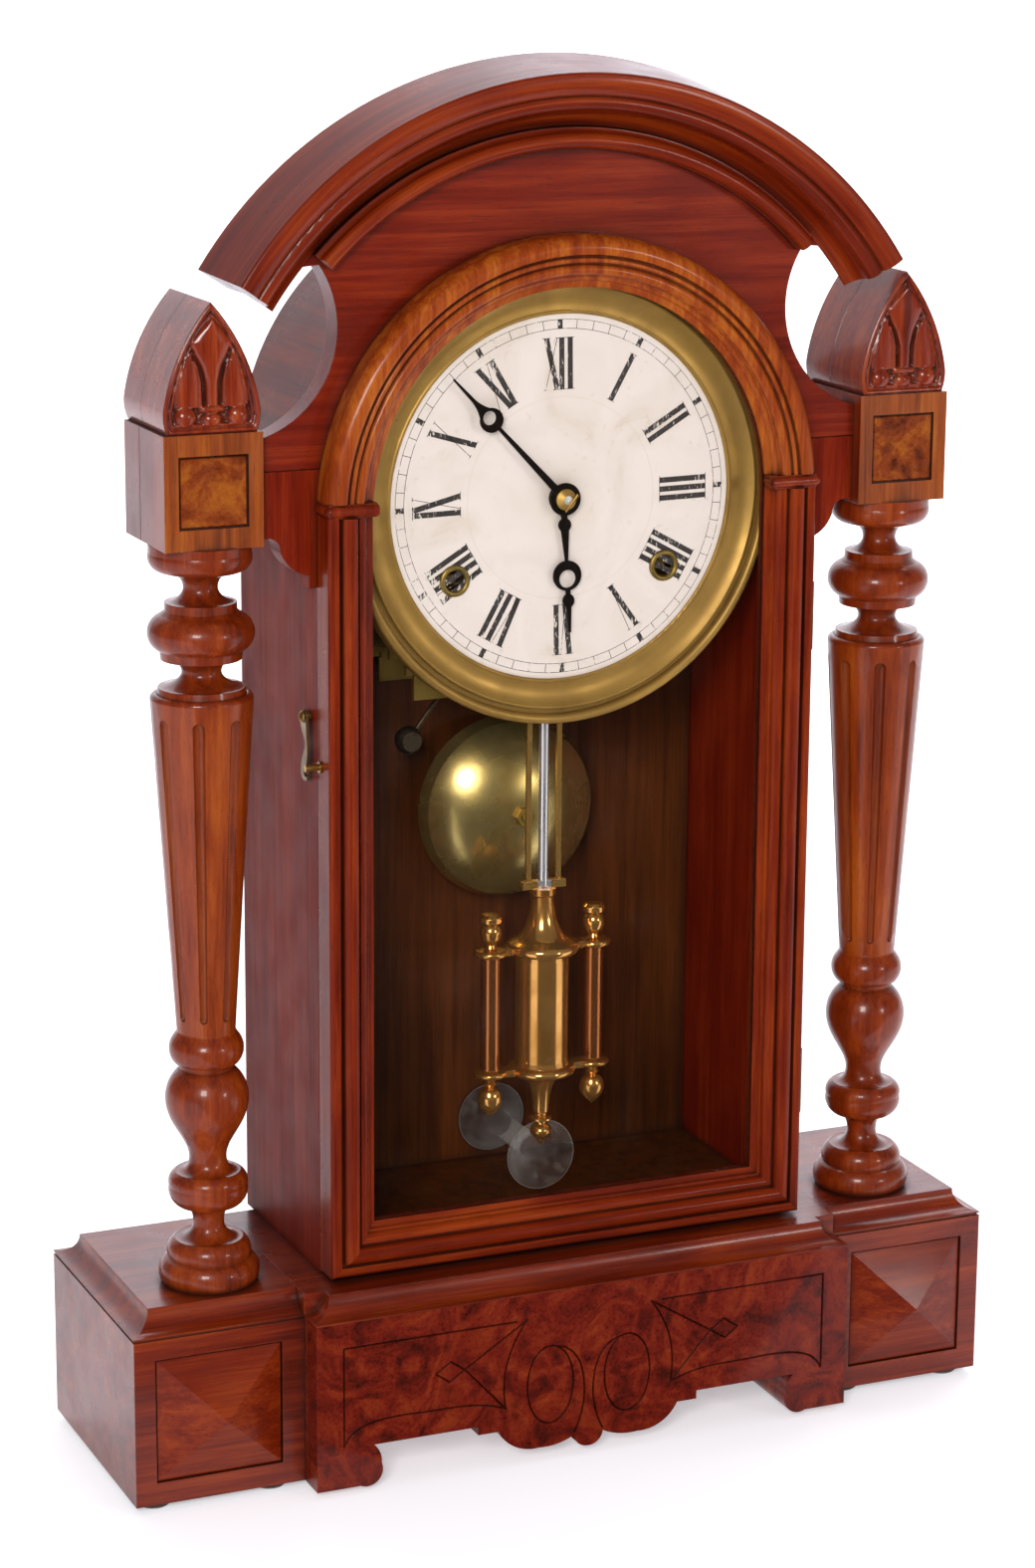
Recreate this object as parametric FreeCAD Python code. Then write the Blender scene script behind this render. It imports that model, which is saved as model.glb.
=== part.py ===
import FreeCAD, Part
import math
import os

# An eight-day striking mantel clock in an arched wooden case, in millimetres.
# X runs to the right, Y to the back and Z up.  The origin is under the middle of the base.

# ---- driving dimensions -------------------------------------------------------------------
FOOT = 3.0                    # height of the pads under the base
BASE_HALF = 163.0             # half the width over the plinth blocks
CENTRE_HALF = 102.0           # half the width of the middle of the base
BASE_FRONT, BASE_BACK = -52.0, 52.0
BLOCK_FRONT = -40.0
FACE_TOP, BASE_TOP = 63.5, 71.5
COVE = 7.5                    # radius of the cove round the top of the base
APRON_BACK = -43.0
SHELF = 17.5                  # underside of the middle of the base

CASE_HALF, WALL = 90.0, 8.0
CASE_FRONT, BOARD_BACK, CASE_BACK = -24.0, -14.0, 51.0
ARCH_Z = 345.0                # spring line of the case's round top
BACK_FACE = 45.0              # front face of the back board
FLOOR_TOP = 80.0
STILE_IN = 78.0               # inner edge of the front stiles
EAR_Z = 352.5                 # joint between the pediment board and the stiles

DIAL_Z = 337.0                # height of the dial's centre, shared by every arch
DOOR_FRONT, DOOR_BACK = -36.4, -24.4
DOOR_BOTTOM, DOOR_WIDTH = 73.0, 17.5
DOOR_HALF = 90.0
COLLAR_LOW, COLLAR_HIGH = 337.7, 342.3
GLASS_FRONT, GLASS_BACK = -29.5, -27.7
HINGE_X, HINGE_Y = 91.7, -24.6
HINGE_HEIGHTS = (122.0, 292.0)

BLOCK_IN, BLOCK_OUT = 110.0, 144.0
BLOCK_Y = (-29.0, 12.0)
BLOCK_Z = (329.0, 367.0)
COLUMN_X, COLUMN_Y = 127.0, -13.8
FINIAL_TOP = 409.5

DIAL_R, BEZEL_R = 62.6, 78.0
DIAL_FRONT, DIAL_BACK = -20.6, -19.4
ARBOR_X, ARBOR_DROP = 39.0, 26.0

FRONT_PLATE, BACK_PLATE = (3.5, 5.0), (36.5, 38.0)
BETWEEN = (5.3, 36.2)         # where an arbor's thick part runs, just clear of both plates
OVERHANG = 0.4                # how far a pivot stands out of its plate
TOOTH = 0.38                  # a tooth's share of the pitch
PIVOT_Z = 312.0               # height of the pendulum's and the verge's axis
PENDULUM_Y = -8.2
VERGE_Y = (0.4, 1.6)          # the plane of the escape wheel and its verge, before the front plate
RUNNING = 0.06                # radial clearance of an arbor in its hole

V = FreeCAD.Vector


# ---- geometry helpers ---------------------------------------------------------------------
def box(x, y, z):
    """A block between pairs of limits on the three axes."""
    return Part.makeBox(x[1] - x[0], y[1] - y[0], z[1] - z[0], V(x[0], y[0], z[0]))


def rod(radius, start, end):
    """A round bar between two points."""
    start, end = V(*start), V(*end)
    return Part.makeCylinder(radius, (end - start).Length, start, end - start)


def pin(x, z, radius, y):
    """A round bar along Y."""
    return rod(radius, (x, y[0], z), (x, y[1], z))


def fuse(shapes):
    """One shape from touching shapes, with the seams removed."""
    return shapes[0].multiFuse(shapes[1:]).removeSplitter()


def mirrored(shape):
    """The same piece on the other side of the clock."""
    return shape.mirror(V(0, 0, 0), V(1, 0, 0))


def outline(steps, to_point):
    """A closed wire: a start point, then lines (a, b), arcs (a, b, a, b) and curves [(a, b), ...]."""
    here, edges = steps[0], []
    for step in list(steps[1:]) + [steps[0]]:
        if isinstance(step, list):
            curve = Part.BSplineCurve()
            curve.interpolate([to_point(*p) for p in [here] + step])
            edges.append(curve.toShape())
            here = step[-1]
        elif len(step) == 4:
            edges.append(Part.Arc(to_point(*here), to_point(*step[:2]), to_point(*step[2:])).toShape())
            here = step[2:]
        elif to_point(*here).distanceToPoint(to_point(*step)) > 1e-6:
            edges.append(Part.makeLine(to_point(*here), to_point(*step)))
            here = step
    return Part.Wire(edges)


def plate(steps, y):
    """A flat outline in X and Z given thickness along Y."""
    return Part.Face(outline(steps, lambda a, b: V(a, y[0], b))).extrude(V(0, y[1] - y[0], 0))


def turned(steps, x=0.0, y=0.0):
    """A piece turned on an upright axis, from an outline of radius and height."""
    face = Part.Face(outline(steps, lambda r, z: V(x + r, y, z)))
    return face.revolve(V(x, y, 0), V(0, 0, 1), 360)


def spun(steps, x, z, sweep=360.0, start=None):
    """A piece turned on an axis along Y, from an outline of radius and depth."""
    face = Part.Face(outline(steps, lambda r, y: V(x + r, y, z)))
    return face.revolve(V(x, 0, z), start or V(0, -1, 0), sweep)


def polar(radius, degrees, x=0.0, z=0.0):
    """A point at a radius and an angle from +X towards +Z."""
    angle = math.radians(degrees)
    return x + radius * math.cos(angle), z + radius * math.sin(angle)


def spot(radius, degrees):
    """A point at a radius and an angle about the dial's centre."""
    return polar(radius, degrees, 0.0, DIAL_Z)


# ---- base ---------------------------------------------------------------------------------
def base_block():
    """The right plinth block: a cove round its top and a sunk field in its front."""
    block = box((CENTRE_HALF, BASE_HALF), (BLOCK_FRONT, BASE_BACK), (FOOT, BASE_TOP))
    for y in (BLOCK_FRONT, BASE_BACK):
        block = block.cut(rod(COVE, (90, y, BASE_TOP), (180, y, BASE_TOP)))
    block = block.cut(rod(COVE, (BASE_HALF, -60, BASE_TOP), (BASE_HALF, 70, BASE_TOP)))
    step = box((CENTRE_HALF, 180), (-60, 70), (FACE_TOP - 0.9, FACE_TOP))
    core = box((90, BASE_HALF - 0.7), (BLOCK_FRONT + 0.7, BASE_BACK - 0.7), (60, 66))
    block = block.cut(step.cut(core))
    field = box((110.0, 155.5), (BLOCK_FRONT, BLOCK_FRONT + 2.5), (11.0, 55.5))
    return block.cut(field)


def pyramid():
    """The four-sided point standing in the right block's sunk field."""
    low, high = (110.5, 11.5), (155.0, 55.0)
    bottom, foot = BLOCK_FRONT + 2.5, BLOCK_FRONT + 0.6
    slab = box((low[0], high[0]), (foot, bottom), (low[1], high[1]))
    corners = [V(low[0], foot, low[1]), V(high[0], foot, low[1]),
               V(high[0], foot, high[1]), V(low[0], foot, high[1])]
    tip = V((low[0] + high[0]) / 2, BLOCK_FRONT - 9.0, (low[1] + high[1]) / 2)
    faces = [Part.Face(Part.makePolygon(corners + corners[:1]))]
    for a, b in zip(corners, corners[1:] + corners[:1]):
        faces.append(Part.Face(Part.makePolygon([a, b, tip, a])))
    return fuse([slab, Part.Solid(Part.Shell(faces))])


def base_center():
    """The middle of the base: a moulded top slab over a plain box, standing forward of the blocks."""
    top = box((-CENTRE_HALF, CENTRE_HALF), (BASE_FRONT, BASE_BACK), (FACE_TOP, BASE_TOP))
    for y in (BASE_FRONT, BASE_BACK):
        top = top.cut(rod(COVE, (-120, y, BASE_TOP), (120, y, BASE_TOP)))
    for side in (-1, 1):
        x = side * CENTRE_HALF
        top = top.cut(rod(COVE, (x, -70, BASE_TOP), (x, BLOCK_FRONT, BASE_TOP)))
    body = box((-CENTRE_HALF, CENTRE_HALF), (APRON_BACK, BASE_BACK), (SHELF, FACE_TOP))
    return fuse([top, body])


APRON_HALF = [(102.0, FACE_TOP), (102.0, FOOT), (86.0, FOOT), (79.0, 4.6, 78.2, 10.2),
              (78.8, 14.2, 81.0, SHELF), (42.2, SHELF), (42.2, 14.4), (34.6, 14.4),
              (29.0, 8.2, 19.0, 5.9), (11.0, 6.4, 5.6, 8.4), (3.4, 4.6, 0.0, 3.6)]


def reversed_half(steps):
    """The mirror image of half an outline, walked back to its start."""
    points, middles = [steps[0]], []
    for step in steps[1:]:
        points.append(step[-2:])
        middles.append(step[:2] if len(step) == 4 else None)
    back = []
    for point, middle in zip(points[-2::-1], middles[::-1]):
        back.append((-middle[0], middle[1], -point[0], point[1]) if middle else (-point[0], point[1]))
    return back


GROOVE_HALF, GROOVE_DEPTH = 0.45, 0.7
GROOVE_STEP = 1.8             # length of the straight cuts that follow a curve
PROUD = 0.05                  # how far the cutter starts in front of the face


def on_apron(point):
    """A point just in front of the apron's face."""
    return V(point[0], BASE_FRONT - PROUD, point[1])


def groove_path(steps):
    """The waste of an incised line of lines and curves on the front of the apron."""
    here, lines = steps[0], []
    for step in steps[1:]:
        if isinstance(step, list):
            curve = Part.BSplineCurve()
            curve.interpolate([on_apron(p) for p in [here] + step])
            lines.append(curve.toShape())
            here = step[-1]
        else:
            lines.append(Part.makeLine(on_apron(here), on_apron(step)))
            here = step
    pieces = []
    for line in lines:
        count = 1 if isinstance(line.Curve, Part.Line) else int(line.Length / GROOVE_STEP) + 1
        spots = line.discretize(count + 1)
        for a, b in zip(spots, spots[1:]):
            along = (b - a).normalize()
            across = V(-along.z, 0, along.x) * GROOVE_HALF
            a, b = a - along * GROOVE_HALF / 2, b + along * GROOVE_HALF / 2
            corners = [a - across, a + across, a + V(0, GROOVE_DEPTH + PROUD, 0)]
            tri = Part.Face(Part.makePolygon(corners + corners[:1]))
            pieces.append(tri.extrude(b - a))
    return pieces


LOOP = [(14.8 + 8.8 * math.cos(math.radians(a)), 29.0 + 14.5 * math.sin(math.radians(a)))
        for a in range(0, 360, 30)]
# The right half of the apron's incised ornament: loop, tail, spike, border and diamond.
ORNAMENT = [
    [LOOP[0], LOOP[1:] + LOOP[:1]],
    [(12.0, 43.0), [(5.2, 38.6), (1.9, 29.0), (2.1, 19.5), (5.4, 9.6)]],
    [(23.8, 54.4), [(28.7, 46.5), (32.0, 36.2), (32.4, 28.0), (31.8, 22.6)]],
    [(23.8, 54.4), (47.3, 39.7), (53.1, 36.0), (58.0, 39.6), (52.6, 43.4), (47.3, 39.7), (31.8, 22.6)],
    [(28.0, 54.3), (92.0, 54.3), (92.0, 18.6), [(87.6, 23.6), (79.0, 26.2), (60.0, 26.4),
                                                (44.0, 25.8), (31.8, 22.6)]],
]


def apron():
    """The fretted front rail with its incised ornament."""
    board = plate(APRON_HALF + reversed_half(APRON_HALF), (BASE_FRONT, APRON_BACK))
    cutters = []
    for path in ORNAMENT:
        cutters += groove_path(path)
    cutters += [mirrored(cutter) for cutter in cutters]
    return board.cut(cutters[0].multiFuse(cutters[1:]))


def foot_scroll():
    """The right scrolled foot's deep block behind the apron."""
    steps = [(102.0, SHELF), (102.0, FOOT), (86.0, FOOT), (79.0, 4.6, 78.2, 10.2),
             (78.8, 14.2, 81.0, SHELF)]
    return plate(steps, (APRON_BACK, -8.0))


def foot_pads():
    """Round felted pads under the corners of the plinth blocks."""
    return [turned([(0, 0), (5.2, 0), (6.0, 0.8), (6.0, FOOT), (0, FOOT)], sx * x, y)
            for sx in (-1, 1) for x in (112.0, 154.0) for y in (-31.0, 43.0)]


# ---- case ---------------------------------------------------------------------------------
def case_side():
    """The right side board."""
    return box((CASE_HALF - WALL, CASE_HALF), (BOARD_BACK, CASE_BACK), (BASE_TOP, ARCH_Z))


def case_top():
    """The bent round top of the case."""
    outer = pin(0, ARCH_Z, CASE_HALF, (BOARD_BACK, CASE_BACK))
    inner = pin(0, ARCH_Z, CASE_HALF - WALL, (BOARD_BACK - 1, CASE_BACK + 1))
    return outer.cut(inner).common(box((-100, 100), (-30, 60), (ARCH_Z, 450)))


def case_back():
    """The back board, arched to fit inside the case."""
    inside = CASE_HALF - WALL
    steps = [(-inside, BASE_TOP), (inside, BASE_TOP), (inside, ARCH_Z),
             (0, ARCH_Z + inside, -inside, ARCH_Z)]
    return plate(steps, (BACK_FACE, CASE_BACK - 1.0))


def case_floor():
    """The floor of the case, running forward between the stiles."""
    inside = CASE_HALF - WALL
    floor = box((-inside, inside), (BOARD_BACK, BACK_FACE), (BASE_TOP, FLOOR_TOP))
    return fuse([floor, box((-STILE_IN, STILE_IN), (CASE_FRONT, BOARD_BACK), (BASE_TOP, FLOOR_TOP))])


def pediment_board():
    """The arched front board: round opening, ears to the corner blocks with an open joint, and eyes."""
    edge, hole = 136.0, 80.0
    rise = math.degrees(math.asin((EAR_Z - DIAL_Z) / hole))
    half = [(0, DIAL_Z + edge), (*spot(edge, 64.0), *spot(edge, 38.0)), spot(125.0, 41.0),
            spot(121.0, 43.0), (82.2, 400.0, BLOCK_IN, 363.5), (BLOCK_IN, EAR_Z), spot(hole, rise),
            (*spot(hole, 50.0), 0, DIAL_Z + hole)]
    right = plate(half, (CASE_FRONT, BOARD_BACK))
    joint = box((-BLOCK_IN, BLOCK_IN), (CASE_FRONT, CASE_FRONT + 0.4), (EAR_Z, EAR_Z + 0.4))
    return fuse([right, mirrored(right)]).cut(joint)


def stile():
    """The right front stile behind the door, with the bracket that carries the corner block."""
    steps = [(STILE_IN, BASE_TOP), (CASE_HALF, BASE_TOP), (CASE_HALF, 313.0), (92.6, 313.0),
             (92.6, 317.2), (98.6, 320.0, 102.4, 325.4), (105.4, 330.2, BLOCK_IN, 329.6),
             (BLOCK_IN, EAR_Z), (STILE_IN, EAR_Z)]
    return plate(steps, (CASE_FRONT, BOARD_BACK))


# The cornice's outer face flares to the back and overhangs the board.
CORNICE = [(136.0, -7.0), (148.0, -7.0), (143.4, -36.6), (143.0, -37.7, 141.8, -38.0),
           (138.6, -37.8, 135.9, -36.0), (135.5, -34.9), (133.4, -35.7, 130.9, -34.0),
           (130.3, -32.4), (128.4, -26.9, 124.8, CASE_FRONT), (136.0, CASE_FRONT)]
BEAD = [(117.8, CASE_FRONT), (117.8, -26.4), (118.8, -26.8), (120.6, -31.2, 123.2, -28.6),
        (123.6, -26.6, 124.8, -26.2), (124.8, CASE_FRONT)]


def arch_moulding(steps, low_angle):
    """A moulding bent round the dial's centre, between two equal angles above the level."""
    start = polar(1.0, low_angle)
    face = Part.Face(outline(steps, lambda r, y: V(r * start[0], y, DIAL_Z + r * start[1])))
    return face.revolve(V(0, 0, DIAL_Z), V(0, -1, 0), 180.0 - 2 * low_angle)


def cornice():
    """The deep arched cornice over the pediment, its ends cut square to the arch."""
    return arch_moulding(CORNICE, 33.0)


def frieze_bead():
    """The round bead that follows the pediment inside the cornice and ends in points."""
    return arch_moulding(BEAD, 43.5)


def corner_block():
    """The right corner block with a recess for its inlaid panel and the joint line in its sides."""
    block = box((BLOCK_IN, BLOCK_OUT), BLOCK_Y, BLOCK_Z)
    recess = box((115.0, 139.0), (BLOCK_Y[0], BLOCK_Y[0] + 1.6), (336.0, 360.0))
    seam = box((100, 160), (-4.2, -3.7), (320, 380)).cut(
        box((BLOCK_IN + 0.4, BLOCK_OUT - 0.4), (-6, 0), (BLOCK_Z[0] + 0.4, BLOCK_Z[1] - 0.4)))
    return block.cut(recess).cut(seam)


def block_panel():
    """The burl panel let into the right corner block."""
    face = box((115.5, 138.5), (BLOCK_Y[0] + 0.3, BLOCK_Y[0] + 1.6), (336.5, 359.5))
    return face.makeChamfer(0.5, [e for e in face.Edges if e.BoundBox.YMax < BLOCK_Y[0] + 0.4])


def finial():
    """The right finial: a gothic arch as deep as its block, carved on the front."""
    x, low, top = COLUMN_X, BLOCK_Z[1], FINIAL_TOP
    widest = top - 35.0

    def arch(inset):
        return [(x, top - inset * 1.7), (x + 11.2 - inset, top - 17.0, x + 16.6 - inset, widest),
                (x + 16.4 - inset, widest - 4.0, x + 15.3 - inset, low + inset * 0.6),
                (x - 15.3 + inset, low + inset * 0.6),
                (x - 16.4 + inset, widest - 4.0, x - 16.6 + inset, widest),
                (x - 11.2 + inset, top - 17.0, x, top - inset * 1.7)]

    front = BLOCK_Y[0] + 0.6
    body = plate(arch(0.0), (front, BLOCK_Y[1] - 0.6))
    body = body.cut(plate(arch(3.2), (front, front + 2.2)))
    seam = plate(arch(-2.0), (-4.2, -3.8)).cut(plate(arch(0.4), (-5, -3)))
    leaf = [(x, top - 7.4), (x + 4.6, top - 12.8), [(x + 3.0, top - 22.0), (x + 1.7, low + 9.0)],
            (x - 1.7, low + 9.0), [(x - 3.0, top - 22.0), (x - 4.6, top - 12.8)]]
    pieces = [body.cut(seam), plate(leaf, (front + 0.5, front + 2.3))]
    for side in (-1, 1):
        petal = [(x + side * 4.6, low + 8.6), [(x + side * 5.0, top - 21.5), (x + side * 8.2, top - 16.6),
                 (x + side * 11.0, top - 21.5), (x + side * 12.6, low + 8.6)]]
        pieces.append(plate(petal, (front + 1.0, front + 2.3)))
        pieces.append(Part.makeSphere(3.5, V(x + side * 9.6, front + 1.6, low + 5.4)))
    pieces.append(Part.makeSphere(3.0, V(x, front + 1.6, low + 6.4)))
    pieces.append(rod(2.6, (x - 2.6, front + 1.6, low + 3.4), (x + 2.6, front + 1.6, low + 3.4)))
    return fuse(pieces)


SHAFT = (161.5, 276.5)        # foot and head of the column's tapered shaft
SHAFT_R = (10.0, 17.3)        # its radius at both
COLUMN = [(0, BASE_TOP), (16.2, BASE_TOP), (17.4, 75.8, 15.6, 80.0), (14.2, 80.8),
          (14.0, 85.0, 11.8, 87.4), [(7.2, 88.6), (5.5, 91.4), (5.4, 94.4), (6.6, 97.6), (9.8, 99.2)],
          (10.8, 99.5), (13.0, 102.0, 13.5, 106.4), (12.9, 110.0, 11.2, 111.4),
          [(7.4, 112.8), (6.4, 116.6), (8.0, 122.0), (12.2, 129.4), (14.3, 138.0), (12.6, 144.4),
           (9.3, 148.2)], (9.9, 149.9), (11.0, 150.4), (12.8, 155.2, 11.0, 160.0),
          (SHAFT_R[0], SHAFT[0]), (SHAFT_R[1], SHAFT[1]), (16.6, 278.3, 15.0, 278.6), (14.6, 280.8),
          [(9.0, 282.6), (6.7, 285.4), (7.4, 288.0), (10.6, 289.6)], (13.6, 290.2),
          (13.9, 293.0), (17.9, 298.4, 13.6, 305.4), (12.2, 306.6), (12.0, 309.4),
          [(8.0, 310.6), (5.9, 313.4), (6.4, 316.6), (10.0, 318.8)], (12.2, 319.6),
          (16.4, 321.6, 17.2, 326.0), (17.2, BLOCK_Z[0]), (0, BLOCK_Z[0])]


def column():
    """The right turned column, its tapered shaft cut with eight round-ended flutes."""
    post = turned(COLUMN, COLUMN_X, COLUMN_Y)
    slope = (SHAFT_R[1] - SHAFT_R[0]) / (SHAFT[1] - SHAFT[0])
    cutters = []
    for i in range(8):
        angle = math.radians(22.5 + 45.0 * i)
        ends = []
        for z, size in ((SHAFT[0] + 6.0, 1.3), (SHAFT[1] - 7.0, 2.1)):
            r = SHAFT_R[0] + slope * (z - SHAFT[0]) + 0.15 * size
            ends.append((V(COLUMN_X + r * math.cos(angle), COLUMN_Y + r * math.sin(angle), z), size))
        (low, r1), (high, r2) = ends
        cutters.append(Part.makeCone(r1, r2, (high - low).Length, low, high - low))
        cutters += [Part.makeSphere(r1, low), Part.makeSphere(r2, high)]
    return post.cut(cutters[0].multiFuse(cutters[1:]))


# ---- door ---------------------------------------------------------------------------------
# The mouldings are outlines of distance in from the door's edge and depth.
STILE_SECTION = [(0, DOOR_BACK), (0, -34.2), (0.5, -35.6, 1.8, -36.0), (3.6, -36.0), (4.1, -34.4),
                 (5.0, -34.2), (7.6, -38.0, 10.2, -34.2), (11.0, -34.0), (11.2, -35.0),
                 (13.4, -34.4, 14.4, -32.4), (15.2, -32.2), (15.6, -31.0), (17.5, -30.6),
                 (17.5, GLASS_FRONT), (14.6, GLASS_FRONT), (14.6, DOOR_BACK)]
ARCH_SECTION = [(0, DOOR_BACK), (0, -31.0), (1.0, -35.4, 6.2, -36.4), (6.6, -35.0), (7.2, -34.9),
                (8.0, -36.2, 8.9, -34.9), (9.4, -34.8), (11.0, -36.2, 13.0, -34.0), (13.4, -33.2),
                (14.6, -32.9, 15.2, -31.6), (17.5, -30.9), (17.5, GLASS_FRONT), (14.6, GLASS_FRONT),
                (14.6, DOOR_BACK)]


def door_frame():
    """The door's two stiles and bottom rail, mitred at the corners."""
    half, low, wide = DOOR_HALF, DOOR_BOTTOM, DOOR_WIDTH
    upright = Part.Face(outline(STILE_SECTION, lambda u, y: V(half - u, y, low)))
    upright = upright.extrude(V(0, 0, COLLAR_LOW - low))
    keep = plate([(half, low), (half, COLLAR_LOW), (half - wide, COLLAR_LOW), (half - wide, low + wide)],
                 (-40, -20))
    upright = upright.common(keep)
    rail = Part.Face(outline(STILE_SECTION, lambda u, y: V(-half, y, low + u))).extrude(V(2 * half, 0, 0))
    keep = plate([(-half, low), (half, low), (half - wide, low + wide), (-half + wide, low + wide)],
                 (-40, -20))
    return fuse([upright, mirrored(upright), rail.common(keep)])


def door_arch():
    """The half-round head of the door."""
    face = Part.Face(outline(ARCH_SECTION, lambda u, y: V(DOOR_HALF - u, y, DIAL_Z)))
    arch = face.revolve(V(0, 0, DIAL_Z), V(0, -1, 0), 180)
    return arch.common(box((-100, 100), (-40, -20), (COLLAR_HIGH, 440)))


def door_collar():
    """The right turned collar between a stile and the arch."""
    section = [(89.8, DOOR_BACK), (89.8, -35.6), (89.0, -36.0), (73.6, -36.0), (72.7, -35.4),
               (72.7, GLASS_FRONT), (75.4, GLASS_FRONT), (75.4, DOOR_BACK)]
    core = Part.Face(outline(section, lambda x, y: V(x, y, COLLAR_LOW))).extrude(
        V(0, 0, COLLAR_HIGH - COLLAR_LOW))
    mid = (COLLAR_LOW + COLLAR_HIGH) / 2
    front = rod(1.9, (72.6, -35.6, mid), (89.2, -35.6, mid))
    side = rod(1.9, (89.2, -35.6, mid), (89.2, -26.6, mid))
    inner = rod(1.4, (73.4, -35.6, mid), (73.4, -30.4, mid))
    ball = Part.makeSphere(1.9, V(89.2, -35.6, mid))
    return fuse([core, front, side, ball, inner])


def pane(inset, y):
    """The door's arched opening, set in from the door's edge."""
    half = DOOR_HALF - inset
    steps = [(-half, DOOR_BOTTOM + inset), (half, DOOR_BOTTOM + inset), (half, DIAL_Z),
             (0, DIAL_Z + half, -half, DIAL_Z)]
    return plate(steps, y)


def door_glass():
    """The pane of glass in the door's rabbet."""
    return pane(14.9, (GLASS_FRONT, GLASS_BACK))


def glass_strip():
    """The thin wooden strip that holds the glass from behind."""
    y = (GLASS_BACK, GLASS_BACK + 1.6)
    return pane(14.9, y).cut(pane(17.3, (y[0] - 1, y[1] + 1)))


def hinge_leaves(door_side):
    """Both hinge leaves of one side: flat plates with their knuckles and rivet heads."""
    shapes = []
    for z in HINGE_HEIGHTS:
        if door_side:
            leaf = box((DOOR_HALF, DOOR_HALF + 0.8), (-34.0, HINGE_Y - 0.2), (z - 12, z + 12))
            spans = [(z - 4.0, z + 4.0)]
            others = [(z - 12.2, z - 3.9), (z + 3.9, z + 12.2)]
            heads = -30.5
        else:
            leaf = box((CASE_HALF, CASE_HALF + 0.8), (HINGE_Y + 0.7, -15.0), (z - 12, z + 12))
            spans = [(z - 12.0, z - 4.2), (z + 4.2, z + 12.0)]
            others = [(z - 4.3, z + 4.3)]
            heads = -18.5
        for low, high in spans:
            leaf = leaf.fuse(rod(1.5, (HINGE_X, HINGE_Y, low), (HINGE_X, HINGE_Y, high)))
            leaf = leaf.fuse(box((DOOR_HALF + 0.2, HINGE_X), (HINGE_Y - (0.4 if door_side else 0.0),
                                 HINGE_Y + (0.0 if door_side else 0.9)), (low, high)))
        for low, high in others:
            leaf = leaf.cut(rod(1.75, (HINGE_X, HINGE_Y, low), (HINGE_X, HINGE_Y, high)))
        hole = 0.7 + (RUNNING if not door_side else 0.0)
        leaf = leaf.cut(rod(hole, (HINGE_X, HINGE_Y, z - 13), (HINGE_X, HINGE_Y, z + 13)))
        for dz in (-8.0, 8.0):
            leaf = leaf.fuse(rod(1.5, (90.4, heads, z + dz), (91.3, heads, z + dz)))
        shapes.append(leaf.removeSplitter())
    return shapes


def hinge_pins():
    """The two loose pins with ball heads, held in the door's knuckles."""
    shapes = []
    for z in HINGE_HEIGHTS:
        shank = rod(0.7, (HINGE_X, HINGE_Y, z - 12.6), (HINGE_X, HINGE_Y, z + 12.6))
        shapes.append(shank.fuse(Part.makeSphere(1.4, V(HINGE_X, HINGE_Y, z + 13.5))).removeSplitter())
    return shapes


LATCH = (-17.0, 268.0)        # depth and height of the hook's pivot
CATCH = (-27.2, 252.6)        # depth and height of the peg it drops over


def latch_pin():
    """The brass peg in the door's left edge."""
    peg = rod(1.2, (-89.0, CATCH[0], CATCH[1]), (-95.6, CATCH[0], CATCH[1]))
    collar = rod(1.9, (-90.0, CATCH[0], CATCH[1]), (-90.8, CATCH[0], CATCH[1]))
    return fuse([peg, collar])


def latch_hook():
    """The waved hook on the case's left side, hanging from its screw."""
    y, z = LATCH
    reach = math.hypot(CATCH[0] - y, CATCH[1] - z)
    low = z - reach
    face = [(y - 2.3, z), (y, z + 2.3, y + 2.3, z), [(y + 1.2, z - 5.0), (y - 1.6, z - 9.0),
            (y + 0.6, z - 13.5), (y + 2.2, low + 0.6)], (y + 1.4, low - 2.8, y - 1.6, low - 3.2),
            (y - 3.2, low - 3.0), (y - 3.0, low - 1.5), (y - 0.6, low - 1.5, y - 0.2, low),
            (y - 0.6, low + 1.5, y - 2.6, low + 1.9), [(y - 3.6, z - 11.0), (y - 3.0, z - 7.0)]]
    hook = Part.Face(outline(face, lambda a, b: V(-91.2, a, b))).extrude(V(-1.2, 0, 0))
    return hook.cut(rod(0.9 + RUNNING, (-90, y, z), (-94, y, z)))


# ---- dial and hands -----------------------------------------------------------------------
def dial_plate():
    """The round sheet-metal dial with holes for the hands and the winding key."""
    disc = pin(0, DIAL_Z, 72.5, (DIAL_FRONT, DIAL_BACK))
    holes = [pin(0, DIAL_Z, 4.6, (-30, 0))]
    holes += [pin(side * ARBOR_X, DIAL_Z - ARBOR_DROP, 4.6, (-30, 0)) for side in (-1, 1)]
    return disc.cut(holes[0].multiFuse(holes[1:]))


def dial_bezel():
    """The brass bezel round the dial: a dished ring, a groove and a rolled rim."""
    dish = [(DIAL_R, DIAL_FRONT), (DIAL_R, -21.3), (63.2, -21.7, 63.9, -21.4),
            (68.6, -21.6, 72.0, -23.4), (72.6, -23.3), (72.9, -21.5), (74.5, -21.5)]
    rim = [(74.7, -22.6), (76.3, -24.3, BEZEL_R, -22.6), (BEZEL_R, -16.0), (77.2, -16.0),
           (77.2, -20.8), (73.4, -20.8), (72.8, DIAL_FRONT)]
    return spun(dish + rim, 0, DIAL_Z)


def winding_eyelets():
    """Rolled brass eyelets lining the two winding holes."""
    section = [(3.6, -19.0), (3.6, -20.9), (4.4, -21.6, 5.5, -20.6), (4.55, DIAL_FRONT), (4.55, -19.0)]
    return [spun(section, side * ARBOR_X, DIAL_Z - ARBOR_DROP) for side in (-1, 1)]


FOOT_TAIL = 1.2               # radius of a dial foot's tail in the front plate


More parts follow.
